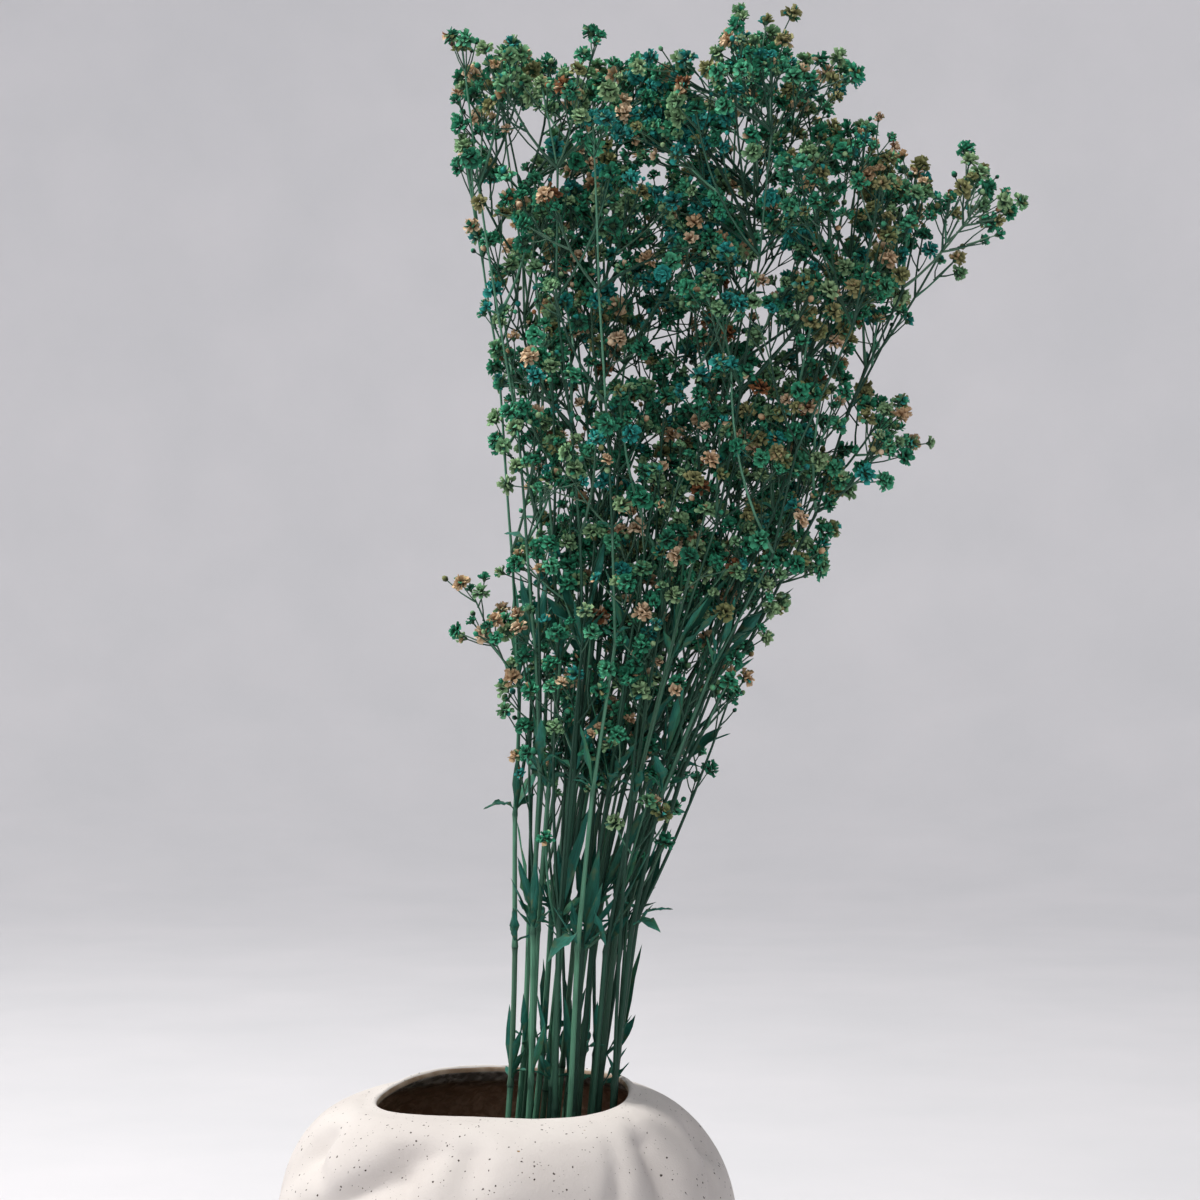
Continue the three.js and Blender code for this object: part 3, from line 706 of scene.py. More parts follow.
# The tips of branches stand inside the bunch's outline
def inside_bunch(tip, margin=tip_margin):
    middle, half_width, half_depth = values_at(bunch_shape, tip[2])
    sideways = (tip[0] - middle) / (half_width + margin)
    top = values_at(top_line, tip[0])[0]
    return math.hypot(sideways, tip[1] / (half_depth + margin)) < 1 and tip[2] < top + margin


def grow_twigs(branch, count, seed, kept_inside):
    joints = (len(branch.points) - 2) // 2
    for number in range(count):
        low = 1 + 2 * (number % joints)
        root = between(branch.points[low], branch.points[low + 1], 0.5)
        ahead = unit(branch.points[low + 1] - branch.points[low])
        draw = seeded_draws(seed + number)
        for attempt in range(8):
            azimuth = seed + math.pi * (number // joints) + (draw() - 0.5) * (0.8 + 0.7 * attempt)
            length = between(*twig_length, draw()) * (1 - 0.04 * attempt)
            bloom = bloom_width if draw() < 0.5 else half_open_width
            line = side_line(root, ahead, 0.6 + 0.35 * draw(), azimuth, length, 0.45)
            if kept_inside and not inside_bunch(line[2]):
                continue
            twig = grow_axis(branch.spray, line, [], twig_radius, bloom)
            if twig:
                branch.twigs.append(twig)
                break


for number, (spray, height, tip, twigs, bow) in enumerate(loose_shoots):
    joint = joint_near(sprays[spray].stem, height)
    root, ahead = collar_at(sprays[spray].stem, joint)
    end = np.array(tip, float)
    middle = between(root, end, 0.5) + ahead * bow * math.dist(root, end)
    joints = [0.5, 0.75] if twigs > 2 else [0.6]
    shoot = grow_axis(spray, [root, middle, end], joints, branch_radius, bloom_width)
    if shoot:
        shoot.loose = True
        sprays[spray].branches.append(shoot)
        grow_twigs(shoot, twigs, 900 + 10 * number, False)


def turned_about(v, axis, angle):
    cosine, sine = math.cos(angle), math.sin(angle)
    return v * cosine + np.cross(axis, v) * sine + axis * (axis @ v) * (1 - cosine)


# A cross section of a blade: its middle, its way across and up, and half its width
def blade_section(leaf, share, outline):
    middle = on_line(leaf.line, share)
    ahead = line_tangent(leaf.line, share)
    across = turned_about(leaf.across, ahead, leaf.roll * share)
    across = unit(across - ahead * (across @ ahead))
    return middle, across, np.cross(ahead, across), 0.5 * leaf.width * outline


def leaf_lanes(leaf):
    lanes = [[], [], []]
    for place, share in enumerate(blade_shares):
        middle, across, up, half = blade_section(leaf, share, blade_outline[place])
        lanes[0].append(middle + across * half + up * half * (0.25 + 0.5 * leaf.waves[place][0]))
        lanes[1].append(middle)
        lanes[2].append(middle - across * half + up * half * (0.25 + 0.5 * leaf.waves[place][1]))
    return lanes


# One leaf on a line, if there is room for it
def grow_leaf(spray, line, turn, width, roll, draw, seed, reach, *room_rules):
    leaf = SimpleNamespace(line=line, width=width, roll=roll, seed=seed)
    leaf.across = np.array([-math.sin(turn), math.cos(turn), 0.0])
    leaf.waves = [[draw() - 0.5, draw() - 0.5] for _ in blade_shares]
    space = []
    for lane in leaf_lanes(leaf):
        space += stretches_of(lane + [line[2]], [reach] * 5)
    return leaf if take_room(space, spray, line[0], *room_rules) else None


for number, (spray, height, azimuth, length, width, angle, droop) in enumerate(leaf_list):
    joint = joint_near(sprays[spray].stem, height)
    root, ahead = collar_at(sprays[spray].stem, joint)
    draw = seeded_draws(600 + number)
    for attempt in range(10):
        turn = math.radians(azimuth) + (draw() - 0.5) * 0.4 * attempt
        size = 1 - 0.04 * attempt
        line = side_line(root, ahead, math.radians(angle), turn, length * size, 0)
        line[2] = line[2] + np.array([math.cos(turn), math.sin(turn), -1.6]) * 0.3 * droop * length * size
        roll = draw() * 2 - 1
        reach = 0.8 + 0.1 * width
        leaf = grow_leaf(spray, line, turn, width * size, roll, draw, 600 + number, reach, free_leaf_foot)
        if leaf:
            sprays[spray].leaves.append(leaf)
            break

# Small leaves and bracts dried on at nearly every joint
bract_heights = [150, 520]
low_bracts_below = 330
bract_reach = 0.32
thin_gap = 0.04
# What take_room gets for a bract: the free length at its foot and the two gaps it keeps
bract_room = [3.5, thin_gap, thin_gap]


def grow_bract(number, joint, seed, length, width, spread):
    root, ahead = collar_at(sprays[number].stem, joint)
    draw = seeded_draws(seed)
    for attempt in range(12):
        turn = draw() * 6.28
        size = (0.7 + 0.6 * draw()) * (1 - 0.04 * attempt)
        line = side_line(root, ahead, spread + 0.5 * draw(), turn, length * size, 0.1)
        hanging = np.array([math.cos(turn), math.sin(turn), -1.6]) * spread * draw()
        line[2] = line[2] + hanging * length * size
        if not inside_bunch(line[2]):
            continue
        roll = 2.4 * draw() - 1.2
        leaf = grow_leaf(number, line, turn, width * size, roll, draw, seed, bract_reach, *bract_room)
        if leaf:
            sprays[number].bracts.append(leaf)
            break


# The finished blade is thin and closed: a fold along the midrib, curled edges and a pointed tip
fine_shares = [0.12, 0.2, 0.28, 0.36, 0.45, 0.55, 0.66, 0.76, 0.86, 0.94]
fine_lanes = [-1, -0.55, 0, 0.55, 1]
small_shares = [0.14, 0.3, 0.5, 0.7, 0.88]
small_lanes = [-1, 0, 1]
blade_thickness = 0.35


def add_leaf(body, leaf, blade_rows, lanes):
    knots = [0, 0.12] + blade_shares + [1]
    widths = [0.1, 0.16] + blade_outline + [0.02]
    left = [0, 0] + [w[1] for w in leaf.waves] + [0]
    right = [0, 0] + [w[0] for w in leaf.waves] + [0]
    draw = seeded_draws(40000 + leaf.seed)
    curl = 0.5 + 0.7 * draw()
    phase = draw() * 6.28
    upper, lower, uv = [], [], []
    low, high = leaf_strip
    tone = between(low + 0.02, high - 0.02, draw())
    for share in blade_rows:
        middle, across, up, half = blade_section(leaf, share, np.interp(share, knots, widths))
        waves = [np.interp(share, knots, left), np.interp(share, knots, right)]
        for lane in lanes:
            wave = waves[0] if lane < 0 else waves[1]
            lift = half * abs(lane) * (0.25 + 0.5 * wave)
            lift += half * 0.42 * curl * abs(lane) ** 2 * math.sin(share * 15 + phase + 2 * lane)
            spot = middle + across * half * lane * (1 - 0.12 * curl * abs(lane)) + up * lift
            thick = blade_thickness * (1.5 if lane == 0 else 1 - 0.75 * abs(lane))
            upper.append(spot + up * thick / 2)
            lower.append(spot - up * thick / 2)
            uv.append([tone + 0.012 * lane, share])
    count = len(lanes)
    rows = len(blade_rows)
    points = np.array(upper + lower + [on_line(leaf.line, 0.02), leaf.line[2]])
    uv = np.array(uv + uv + [[tone, 0.02], [tone, 0.99]])
    under, foot, tip = len(upper), 2 * len(upper), 2 * len(upper) + 1
    faces = []
    for row in range(rows - 1):
        for lane in range(count - 1):
            a = row * count + lane
            b, c, d = a + 1, a + count + 1, a + count
            faces += [[a, b, c], [a, c, d]]
            faces += [[under + a, under + c, under + b], [under + a, under + d, under + c]]
        a = row * count
        b = a + count
        faces += [[a, b, under + b], [a, under + b, under + a]]
        a, b = a + count - 1, b + count - 1
        faces += [[a, under + b, b], [a, under + a, under + b]]
    top = (rows - 1) * count
    for lane in range(count - 1):
        faces += [[foot, lane + 1, lane], [foot, under + lane, under + lane + 1]]
        faces += [[tip, top + lane, top + lane + 1], [tip, under + top + lane + 1, under + top + lane]]
    faces += [[foot, 0, under], [foot, under + count - 1, count - 1]]
    faces += [[tip, under + top, top], [tip, top + count - 1, under + top + count - 1]]
    add_to(body, points, np.array(faces), leaf_slot, uv)


# BRANCHES AND TWIGS
# Side branches leave the upper joints, mostly one at each, sometimes an opposite pair, and carry twigs.
# Every branch and twig ends in a bloom.
branched_length = 250
branch_length = [42, 76]
pair_share = 0.23
twig_pair_share = 0.42

for from_top in range(1, 7):
    for spray in sprays:
        stem = spray.stem
        joint = len(stem.points) - 1 - from_top
        if joint < 2 or stem.points[-1][2] - stem.points[joint][2] > branched_length:
            continue
        root, ahead = collar_at(stem, joint)
        pair = 2 if seeded_draws(7000 + stem.spray * 10 + from_top)() < pair_share else 1
        for side in range(pair):
            seed = 10000 + stem.spray * 100 + from_top * 10 + side
            draw = seeded_draws(seed)
            for attempt in range(9):
                straight = (from_top * 0.5 + side) * math.pi + stem.spray * 1.3
                azimuth = straight + (draw() - 0.5) * (0.7 + 0.9 * attempt)
                length = (between(*branch_length, draw()) + 4 * from_top) * (1 - 0.05 * attempt)
                line = side_line(root, ahead, 0.62 + 0.3 * draw(), azimuth, length, 0.7)
                if not inside_bunch(line[2]):
                    continue
                branch = grow_axis(stem.spray, line, [0.5], branch_radius, bloom_width)
                if branch:
                    branch.seed = seed * 3
                    spray.branches.append(branch)
                    break
for spray in sprays:
    for branch in spray.branches:
        if hasattr(branch, "seed"):
            count = 2 if seeded_draws(branch.seed)() < twig_pair_share else 1
            grow_twigs(branch, count, branch.seed, True)


# Branches and twigs are slimmer than their solids; all side axes swell at the foot
branch_slimness = 0.74
twig_slimness = 0.72
foot_swelling = 1.3


# A side axis as a tube with its bloom; the foot is its length up to foot_share
def add_side_tube(body, axis, shares, foot_share, slimmer, sides, tone, bloom_seed):
    points = [on_line(axis.line, share) for share in shares]
    radii = []
    for share in shares:
        thick = between(*axis.radii, share) * slimmer
        radii.append(thick * foot_swelling if share < foot_share else thick)
    along = [0.05 + 0.9 * math.sin(min(1, share * 1.15) * math.pi * 0.85) for share in shares]
    ahead = add_tube(body, points, radii, sides, tone, along)
    add_bloom(body, points[-1], ahead, axis.bloom, bloom_seed)


def add_axis(body, axis, slimmer, sides, seed):
    steps = max(3, int(axis.length / 9))
    shares = sorted(set([0, 0.06] + [n / steps for n in range(1, steps)] + [1.0]))
    add_side_tube(body, axis, shares, 0.07, slimmer, sides, seeded_draws(seed)(), seed * 7 + 1)
    for number, twig in enumerate(axis.twigs):
        add_axis(body, twig, twig_slimness, 5, seed * 5 + number + 1)


# LATE BRANCHES AND PEDICELS
# Thread-thin side branches, twigs and pedicels fill the bunch out; each ends in a bloom or a round bud.
# They spring from the joints of the stems and from near the tips of all that is thicker.
late_radius = [0.42, 0.32]
late_length = [30, 64]
late_twig_radius = [0.34, 0.26]
late_twig_length = [13, 27]
pedicel_radius = [0.32, 0.24]
pedicel_length = [7, 16]
bud_width = 2.4
lowest_late_joint = 235
lowest_bloom = 268
late_laps = 3
late_twigs = 3
# Where the bunch would be thin: X from and to, lowest joint, number of extra branches at a joint.
# Those are longer than the others and stand closer to the stem.
thin_places = [[25, 88, 400, 5], [118, 180, 380, 3]]
extra_length = 1.35
extra_angle = 0.6
# Where it would stay empty: X, Y and Z from and to, and the number of shoots that end there
empty_places = [
    [(44, 70), (-38, 38), (528, 562), 30], [(68, 90), (-40, 30), (486, 530), 14],
    [(136, 164), (-35, 35), (462, 494), 10], [(-6, 6), (-10, 20), (440, 475), 4],
]
shoot_radius = [0.78, 0.4]
shoot_twigs = 5
low_shoots_below = 300
low_shoot_laps = 3


def thin_along(spray, line, length, radii, bloom, foot):
    steps = max(2, int(length / 16))
    spots = [on_line(line, step / steps) for step in range(steps + 1)]
    space = stretches_of(spots, [radii[0]] * len(spots))
    space.append(bloom_space(line[1], line[2], bloom * 0.8))
    if not take_room(space, spray, line[0], foot, thin_gap, thin_gap):
        return None
    return SimpleNamespace(line=line, length=length, points=[spots[-2], line[2]], radii=radii, bloom=bloom)


def grow_thin(spray, root, ahead, azimuth, length, angle, lift, radii, bloom, margin, foot=2.5):
    line = side_line(root, ahead, angle, azimuth, length, lift)
    tip = line[2]
    if tip[2] < lowest_bloom or (margin is not None and not inside_bunch(tip, margin)):
        return None
    return thin_along(spray, line, length, radii, bloom, foot)


def drawn_bloom(draw, open_share, half_share):
    chance = draw()
    if chance < open_share:
        return bloom_width
    return half_open_width if chance < open_share + half_share else bud_width


def grow_late_twigs(number, branch, count, seed):
    for place in range(count):
        draw = seeded_draws(seed + place)
        share = 0.42 + 0.4 * place / count + 0.1 * draw()
        root = on_line(branch.line, share)
        ahead = line_tangent(branch.line, share)
        for attempt in range(5):
            azimuth = seed + place * 2.4 + (draw() - 0.5) * (0.8 + 0.8 * attempt)
            length = between(*late_twig_length, draw()) * (1 - 0.06 * attempt)
            bloom = drawn_bloom(draw, 0.6, 0.4)
            angle = 0.5 + 0.45 * draw()
            twig = grow_thin(number, root, ahead, azimuth, length, angle, 0.4, late_twig_radius, bloom, 2)
            if twig:
                sprays[number].late.append(twig)
                break


# The joints of all stems from one on, without the last few: spray, joint and place
def joints_of_stems(first, left_out):
    for number, spray in enumerate(sprays):
        for joint in range(first, len(spray.stem.points) - left_out):
            yield number, joint, spray.stem.points[joint]


# Low shoots rise beside the stem that bears them and open among the other blooms
for lap in range(low_shoot_laps):
    for number, joint, spot in joints_of_stems(1, 2):
        if spot[2] >= low_shoots_below:
            continue
        root, ahead = collar_at(sprays[number].stem, joint)
        seed = 150000 + number * 100 + joint * 4 + lap
        draw = seeded_draws(seed)
        for attempt in range(16):
            azimuth = draw() * 6.28
            length = max(lowest_bloom - root[2], 80) + 60 * draw()
            angle = 0.06 + 0.14 * draw()
            shoot = grow_thin(
                number, root, ahead, azimuth, length, angle, 0.85, shoot_radius, bloom_width, 1, 15
            )
            if shoot:
                sprays[number].late.append(shoot)
                grow_late_twigs(number, shoot, shoot_twigs, seed + 400000)
                break

# Shoots to the empty places come from the nearest joint below that leaves them room
for place, (across, deep, high, count) in enumerate(empty_places):
    for turn in range(count):
        seed = 700000 + place * 1000 + turn * 10
        draw = seeded_draws(seed)
        tip = np.array([between(*across, draw()), between(*deep, draw()), between(*high, draw())])
        joints = []
        for number, joint, spot in joints_of_stems(2, 1):
            if tip[2] - spot[2] > 22:
                joints.append((math.dist(tip, spot), number, joint))
        for reach, number, joint in sorted(joints)[:14]:
            root, ahead = collar_at(sprays[number].stem, joint)
            middle = between(root, tip, 0.5) + (ahead - unit(tip - root)) * 0.12 * reach
            shoot = thin_along(number, [root, middle, tip], reach, shoot_radius, bloom_width, 4)
            if shoot:
                sprays[number].late.append(shoot)
                grow_late_twigs(number, shoot, shoot_twigs, seed + 400000)
                break


def laps_at(spot):
    more = [count for low, high, lowest, count in thin_places if low < spot[0] < high and spot[2] > lowest]
    return late_laps + sum(more)


for lap in range(late_laps + max(count for _, _, _, count in thin_places)):
    for number, joint, spot in joints_of_stems(2, 1):
        if spot[2] < lowest_late_joint or lap >= laps_at(spot):
            continue
        root, ahead = collar_at(sprays[number].stem, joint)
        seed = 200000 + number * 1000 + joint * 80 + lap * 10
        draw = seeded_draws(seed)
        for attempt in range(7):
            azimuth = lap * 2.1 + joint * 1.9 + (draw() - 0.5) * (1 + 1.2 * attempt)
            length = between(*late_length, draw()) * (1 - 0.06 * attempt)
            bloom = drawn_bloom(draw, 0.6, 0.4)
            angle = 0.55 + 0.5 * draw()
            if lap >= late_laps:
                length, angle = length * extra_length, angle * extra_angle
            branch = grow_thin(number, root, ahead, azimuth, length, angle, 0.6, late_radius, bloom, 1)
            if branch:
                sprays[number].late.append(branch)
                grow_late_twigs(number, branch, late_twigs, seed + 400000)
                break

# Bracts at a joint: how many, and their length, width and angle from the stem
low_bracts = [[5, 24, 6.0, 0.35], [4, 42, 5.5, 0.08]]
high_bracts = [[2, 10, 2.8, 0.35]]
for number, joint, spot in joints_of_stems(1, 1):
    if bract_heights[0] < spot[2] < bract_heights[1]:
        seed = 500000 + number * 200 + joint * 10
        for count, length, width, spread in low_bracts if spot[2] < low_bracts_below else high_bracts:
            for _ in range(count):
                grow_bract(number, joint, seed, length, width, spread)
                seed += 1


# The tips round which pedicels spring, with their number; those of loose shoots stand outside the bunch
def tips_of(spray):
    stem = spray.stem
    yield stem.points[-2], stem.points[-1], 5, 4
    for branch in spray.branches:
        margin = None if hasattr(branch, "loose") else 4
        yield branch.points[-2], branch.points[-1], 4, margin
        for twig in branch.twigs:
            yield twig.line[0], twig.points[-1], 4, margin
    for branch in spray.late:
        yield branch.points[-2], branch.points[-1], 2, 4


for number, spray in enumerate(sprays):
    for place, (low, tip, count, margin) in enumerate(list(tips_of(spray))):
        heading = unit(tip - low)
        reach = math.dist(low, tip)
        seed = 60000 + number * 3000 + place * 8
        turn = seeded_draws(seed)() * 6.28
        for side in range(count):
            draw = seeded_draws(seed + 1 + side)
            for attempt in range(6):
                root = tip - heading * min(0.8 * reach, 4 + 12 * draw())
                azimuth = turn + side * 2.4 + (draw() - 0.5) * (0.6 + 0.5 * attempt)
                length = between(*pedicel_length, draw())
                bloom = drawn_bloom(draw, 0.46, 0.3)
                angle = 0.5 + 0.5 * draw()
                pedicel = grow_thin(
                    number, root, heading, azimuth, length, angle, 0.5, pedicel_radius, bloom, margin
                )
                if pedicel:
                    spray.pedicels.append(pedicel)
                    break

# BLOOMS AND BUDS
# Dried double flowers 6 to 7 mm wide, open or half open: a small cup and three or four layers of narrow,
# crumpled petals, and round buds. The dye took unevenly, and a few petals withered to peach and brown.
outer_sections = [(0.36, 0.7), (0.74, 1.0), (1.0, 0.8)]
inner_sections = [(0.55, 0.95), (1.0, 0.85)]


# A petal is closed and three-cornered: its two edges, and the keel of its fold
def petal_at(azimuth, foot_radius, foot_height, length, width, lean, spread, sections, draw):
    radial = np.array([math.cos(azimuth), math.sin(azimuth), 0])
    across = np.array([-math.sin(azimuth), math.cos(azimuth), 0])
    axial = np.array([0, 0, 1.0])
    spot = radial * foot_radius + axial * foot_height
    points = [spot]
    uv = [[0, 0.02]]
    last = 0
    roll = (draw() - 0.5) * 1.8
    fold = 0.3 + 0.3 * draw()
    for share, breadth in sections:
        lean_here = lean + spread * share + (draw() - 0.5) * 0.8
        ahead = radial * math.sin(lean_here) + axial * math.cos(lean_here)
        up = radial * -math.cos(lean_here) + axial * math.sin(lean_here)
        spot = spot + ahead * (share - last) * length
        last = share
        sideways = across * math.cos(roll * share) + up * math.sin(roll * share)
        half = 0.5 * width * breadth
        v = 0.1 + 0.87 * share
        for way in (-1, 1):
            edge = spot + sideways * way * half + up * half * (0.3 + (draw() - 0.5) * 1.1)
            points.append(edge + ahead * half * (draw() - 0.3) * 0.6)
            uv.append([way, v])
        points.append(spot - up * half * fold)
        uv.append([0, v - 0.02])
    foot = [[0, 2, 1], [0, 3, 2], [0, 1, 3]]
    end = len(points) - 3
    faces = np.concatenate([foot, bands(len(sections), 3, 1), [[end, end + 1, end + 2]]])
    return np.array(points), faces, np.array(uv, float)


# Stacked rings closed by a point at each end; the teeth are points at its rim
def cup(rings, teeth, top, sides):
    points, uv = [], []
    for number, (height, radius) in enumerate(rings):
        for side in range(sides):
            turn = side / sides * 2 * math.pi
            tooth = teeth * (1 if side % 2 else -1) if number == len(rings) - 1 else 0
            points.append([radius * math.cos(turn), radius * math.sin(turn), height + tooth])
            uv.append([math.sin(turn), 0.04 + 0.9 * number / (len(rings) - 1)])
    points += [[0, 0, rings[0][0]], [0, 0, top]]
    uv += [[0, 0.02], [0, 0.98]]
    faces = np.concatenate([bands(len(rings), sides), end_fans(len(rings), sides)])
    return np.array(points), faces, np.array(uv, float)


# Layers of petals: number, radius and height of their feet, length, width, lean from the axis, spread
open_layers = [
    (8, 0.12, 0.14, 0.43, 0.32, 0.85, 1.25, outer_sections),
    (7, 0.10, 0.21, 0.46, 0.31, 0.55, 0.9, inner_sections),
    (6, 0.08, 0.28, 0.47, 0.3, 0.3, 0.7, inner_sections),
    (5, 0.04, 0.34, 0.48, 0.25, 0.05, 0.5, inner_sections),
]
half_open_layers = [
    (6, 0.12, 0.16, 0.47, 0.36, 0.55, 0.75, outer_sections),
    (5, 0.08, 0.24, 0.5, 0.33, 0.3, 0.6, inner_sections),
    (4, 0.03, 0.3, 0.52, 0.27, 0.0, 0.4, inner_sections),
]


def flower(layers, seed):
    draw = seeded_draws(seed)
    points, faces, uv, petals = [], [], [], []
    count = 0
    for layer, (number, radius, height, length, width, lean, spread, sections) in enumerate(layers):
        for petal in range(number):
            azimuth = (petal + 0.5 * layer + 0.4 * (draw() - 0.5)) / number * 2 * math.pi
            size = 0.82 + 0.36 * draw()
            long, wide = length * size, width * size
            made = petal_at(azimuth, radius, height, long, wide, lean, spread, sections, draw)
            points.append(made[0])
            faces.append(made[1] + count)
            uv.append(made[2])
            petals.append(np.full(len(made[0]), len(petals)))
            count += len(made[0])
    return np.concatenate(points), np.concatenate(faces), np.concatenate(uv), np.concatenate(petals)


flower_cup = cup([(0.0, 0.07), (0.28, 0.22)], 0.035, 0.24, 8)
bud_body = cup([(0.05, 0.24), (0.45, 0.47), (0.85, 0.32)], 0.02, 1.05, 7)
open_flowers = [flower(open_layers, 50000 + n) for n in range(12)]
half_flowers = [flower(half_open_layers, 51000 + n) for n in range(10)]
# Tones across the petals' strip and how common they are: green, grey green, turquoise, olive, peach, rust
tone_bands = [
    (0.0, 0.24, 0.46), (0.26, 0.42, 0.25), (0.44, 0.6, 0.08), (0.62, 0.74, 0.06), (0.76, 0.9, 0.1),
    (0.92, 1.0, 0.015),
]
# The dye ran strongest high in the middle, where more blooms are turquoise; to the right more are olive
turquoise_middle = (75, 515)
turquoise_reach = (38, 75)
turquoise_share = 0.34
olive_from = (90, 150)
olive_share = 0.22


def drawn_tone(draw, spot):
    chance = draw()
    off = math.hypot(*((spot[a] - m) / r for a, m, r in zip((0, 2), turquoise_middle, turquoise_reach)))
    if draw() < turquoise_share * math.exp(-off * off):
        return between(0.44, 0.6, draw())
    if draw() < olive_share * smooth_share(spot[0], *olive_from):
        return between(0.62, 0.74, draw())
    for low, high, share in tone_bands:
        if chance < share:
            return between(low, high, draw())
        chance -= share
    return 0.1


# Adds a bloom, bud or cup: its own axis is turned to point ahead; the tone is its place across the colours
def add_form(body, form, spot, ahead, size, turn, slot, tone):
    points, faces, uv = form
    side = np.array([1.0, 0, 0]) if abs(ahead[0]) < 0.8 else np.array([0, 1.0, 0])
    side = unit(side - ahead * (side @ ahead))
    other = np.cross(ahead, side)
    first = side * math.cos(turn) + other * math.sin(turn)
    second = np.cross(ahead, first)
    placed = spot + size * (points[:, :1] * first + points[:, 1:2] * second + points[:, 2:] * ahead)
    add_to(body, placed, faces, slot, np.stack([tone + 0.006 * uv[:, 0], uv[:, 1]], 1))


def add_bloom(body, tip, ahead, width, seed):
    draw = seeded_draws(seed)
    low, high = petal_strip
    turn = draw() * 6.28
    if width <= bud_width:
        size = width * (0.8 + 0.45 * draw())
        tone = between(low, high, min(0.98, max(0.02, drawn_tone(draw, tip))))
        add_form(body, bud_body, tip - ahead * 0.2, ahead, size, turn, petal_slot, tone)
        return
    kinds = open_flowers if width == bloom_width else half_flowers
    points, faces, uv, petals = kinds[int(draw() * len(kinds))]
    size = width * (0.94 + 0.16 * draw())
    stretch = np.array([1, 1, 0.85 + 0.3 * draw()])
    tones = np.full(petals.max() + 1, drawn_tone(draw, tip))
    stray_share = 0.3 * draw() ** 3
    for petal in range(len(tones)):
        if draw() < stray_share:
            tones[petal] = drawn_tone(draw, tip)
        else:
            tones[petal] += (draw() - 0.5) * 0.05
    tone = low + (high - low) * np.clip(tones[petals], 0.02, 0.98)
    add_form(body, (points * stretch, faces, uv), tip, ahead, size, turn, petal_slot, tone)
    low, high = calyx_strip
    tone = between(low + 0.01, high - 0.01, draw())
    add_form(body, flower_cup, tip - ahead * 0.2, ahead, size, turn, leaf_slot, tone)


def add_thin(body, axis, seed):
    shares = [0, 0.1, 0.5, 1.0] if axis.length < 25 else [0, 0.04, 0.2, 0.4, 0.6, 0.8, 1.0]
    tone = between(0.4, 1.0, seeded_draws(seed)())
    add_side_tube(body, axis, shares, 0.01, 1, 4, tone, seed * 3 + 1)


# Colours of dyed stems, petals and leaves: a place across the strips gives the tone, along them the part
def strip_place(add):
    place = add("ShaderNodeUVMap", uv_map="OFBake").outputs[0]
    parts = add("ShaderNodeSeparateXYZ", ((0, place),))
    return place, parts.outputs[0], parts.outputs[1]


def ramp(add, value, strip, stops):
    node = add("ShaderNodeValToRGB", ((0, value),))
    low, high = strip
    elements = node.color_ramp.elements
    while len(elements) < len(stops):
        elements.new(0.5)
    for element, (tone, code) in zip(elements, stops):
        element.position = low + (high - low) * tone
        element.color = linear(code)
    return node.outputs[0]


def streaks(add, place, across, along):
    stretched = add("ShaderNodeMapping", ((0, place), (3, (across, along, 1.0)))).outputs[0]
    return grain(add, stretched, 1.0, 3.0)


petal_material, add, join = new_material("dyed_petals_with_painted_shade_and_highlight", 0.88)
place, tone, along = strip_place(add)
# Painted shade and highlight: each petal's dye tone is painted dark at its foot, as shade deep in the bloom,
# and light at its tip, as a painted highlight; buds are painted the same way, dark below and light on top
painted_shade_foot_colours = ramp(add, tone, petal_strip, [
    (0.0, "#051a13"), (0.13, "#08261b"), (0.25, "#0e3426"), (0.27, "#1a3423"), (0.42, "#26422b"),
    (0.44, "#063a38"), (0.6, "#094e4a"), (0.62, "#303c1c"), (0.75, "#403f21"), (0.76, "#8a6440"),
    (0.9, "#a37d56"), (0.92, "#351f11"), (1.0, "#492c19"),
])
painted_highlight_tip_colours = ramp(add, tone, petal_strip, [
    (0.0, "#1d7b5c"), (0.13, "#33a57b"), (0.25, "#60c697"), (0.27, "#77b480"), (0.42, "#adcf98"),
    (0.44, "#118782"), (0.6, "#33b8ac"), (0.62, "#8b955c"), (0.75, "#b0aa76"), (0.76, "#e6bf92"),
    (0.9, "#f6dcba"), (0.92, "#8a5834"), (1.0, "#a66c3e"),
])
veins = streaks(add, place, 420.0, 7.0)
shade_to_highlight = ranged(add, maths(add, "ADD", along, maths(add, "MULTIPLY", veins, 0.5)), 0.5, 1.15)
petal_colour = mixed(add, shade_to_highlight, painted_shade_foot_colours, painted_highlight_tip_colours)
shade = ranged(add, veins, 0.3, 0.7, 0.0, 0.35)
join(mixed(add, shade, petal_colour, linear("#071d15")), "Base Color")
roughen(add, join, veins, 0.5, 0.00015)

leaf_material, add, join = new_material("dyed_leaves_and_cups", 0.8)
place, tone, along = strip_place(add)
leaf_tones = ramp(add, tone, [calyx_strip[0], leaf_strip[1]], [
    (0.0, "#1f4a34"), (0.2, "#2a5238"), (0.35, "#416039"), (0.5, "#0f4a3b"), (0.66, "#14604c"),
    (0.8, "#1b7466"), (0.9, "#2f7c5c"), (1.0, "#5a8a62"),
])
veins = streaks(add, place, 260.0, 5.0)
blotch = streaks(add, place, 30.0, 4.0)
leaf_colour = mixed(add, ranged(add, veins, 0.35, 0.7, 0.0, 0.5), leaf_tones, linear("#0e3025"))
leaf_colour = mixed(add, ranged(add, blotch, 0.56, 0.72, 0.0, 0.7), leaf_colour, linear("#5d6840"))
join(leaf_colour, "Base Color")
roughen(add, join, veins, 0.5, 0.0002)

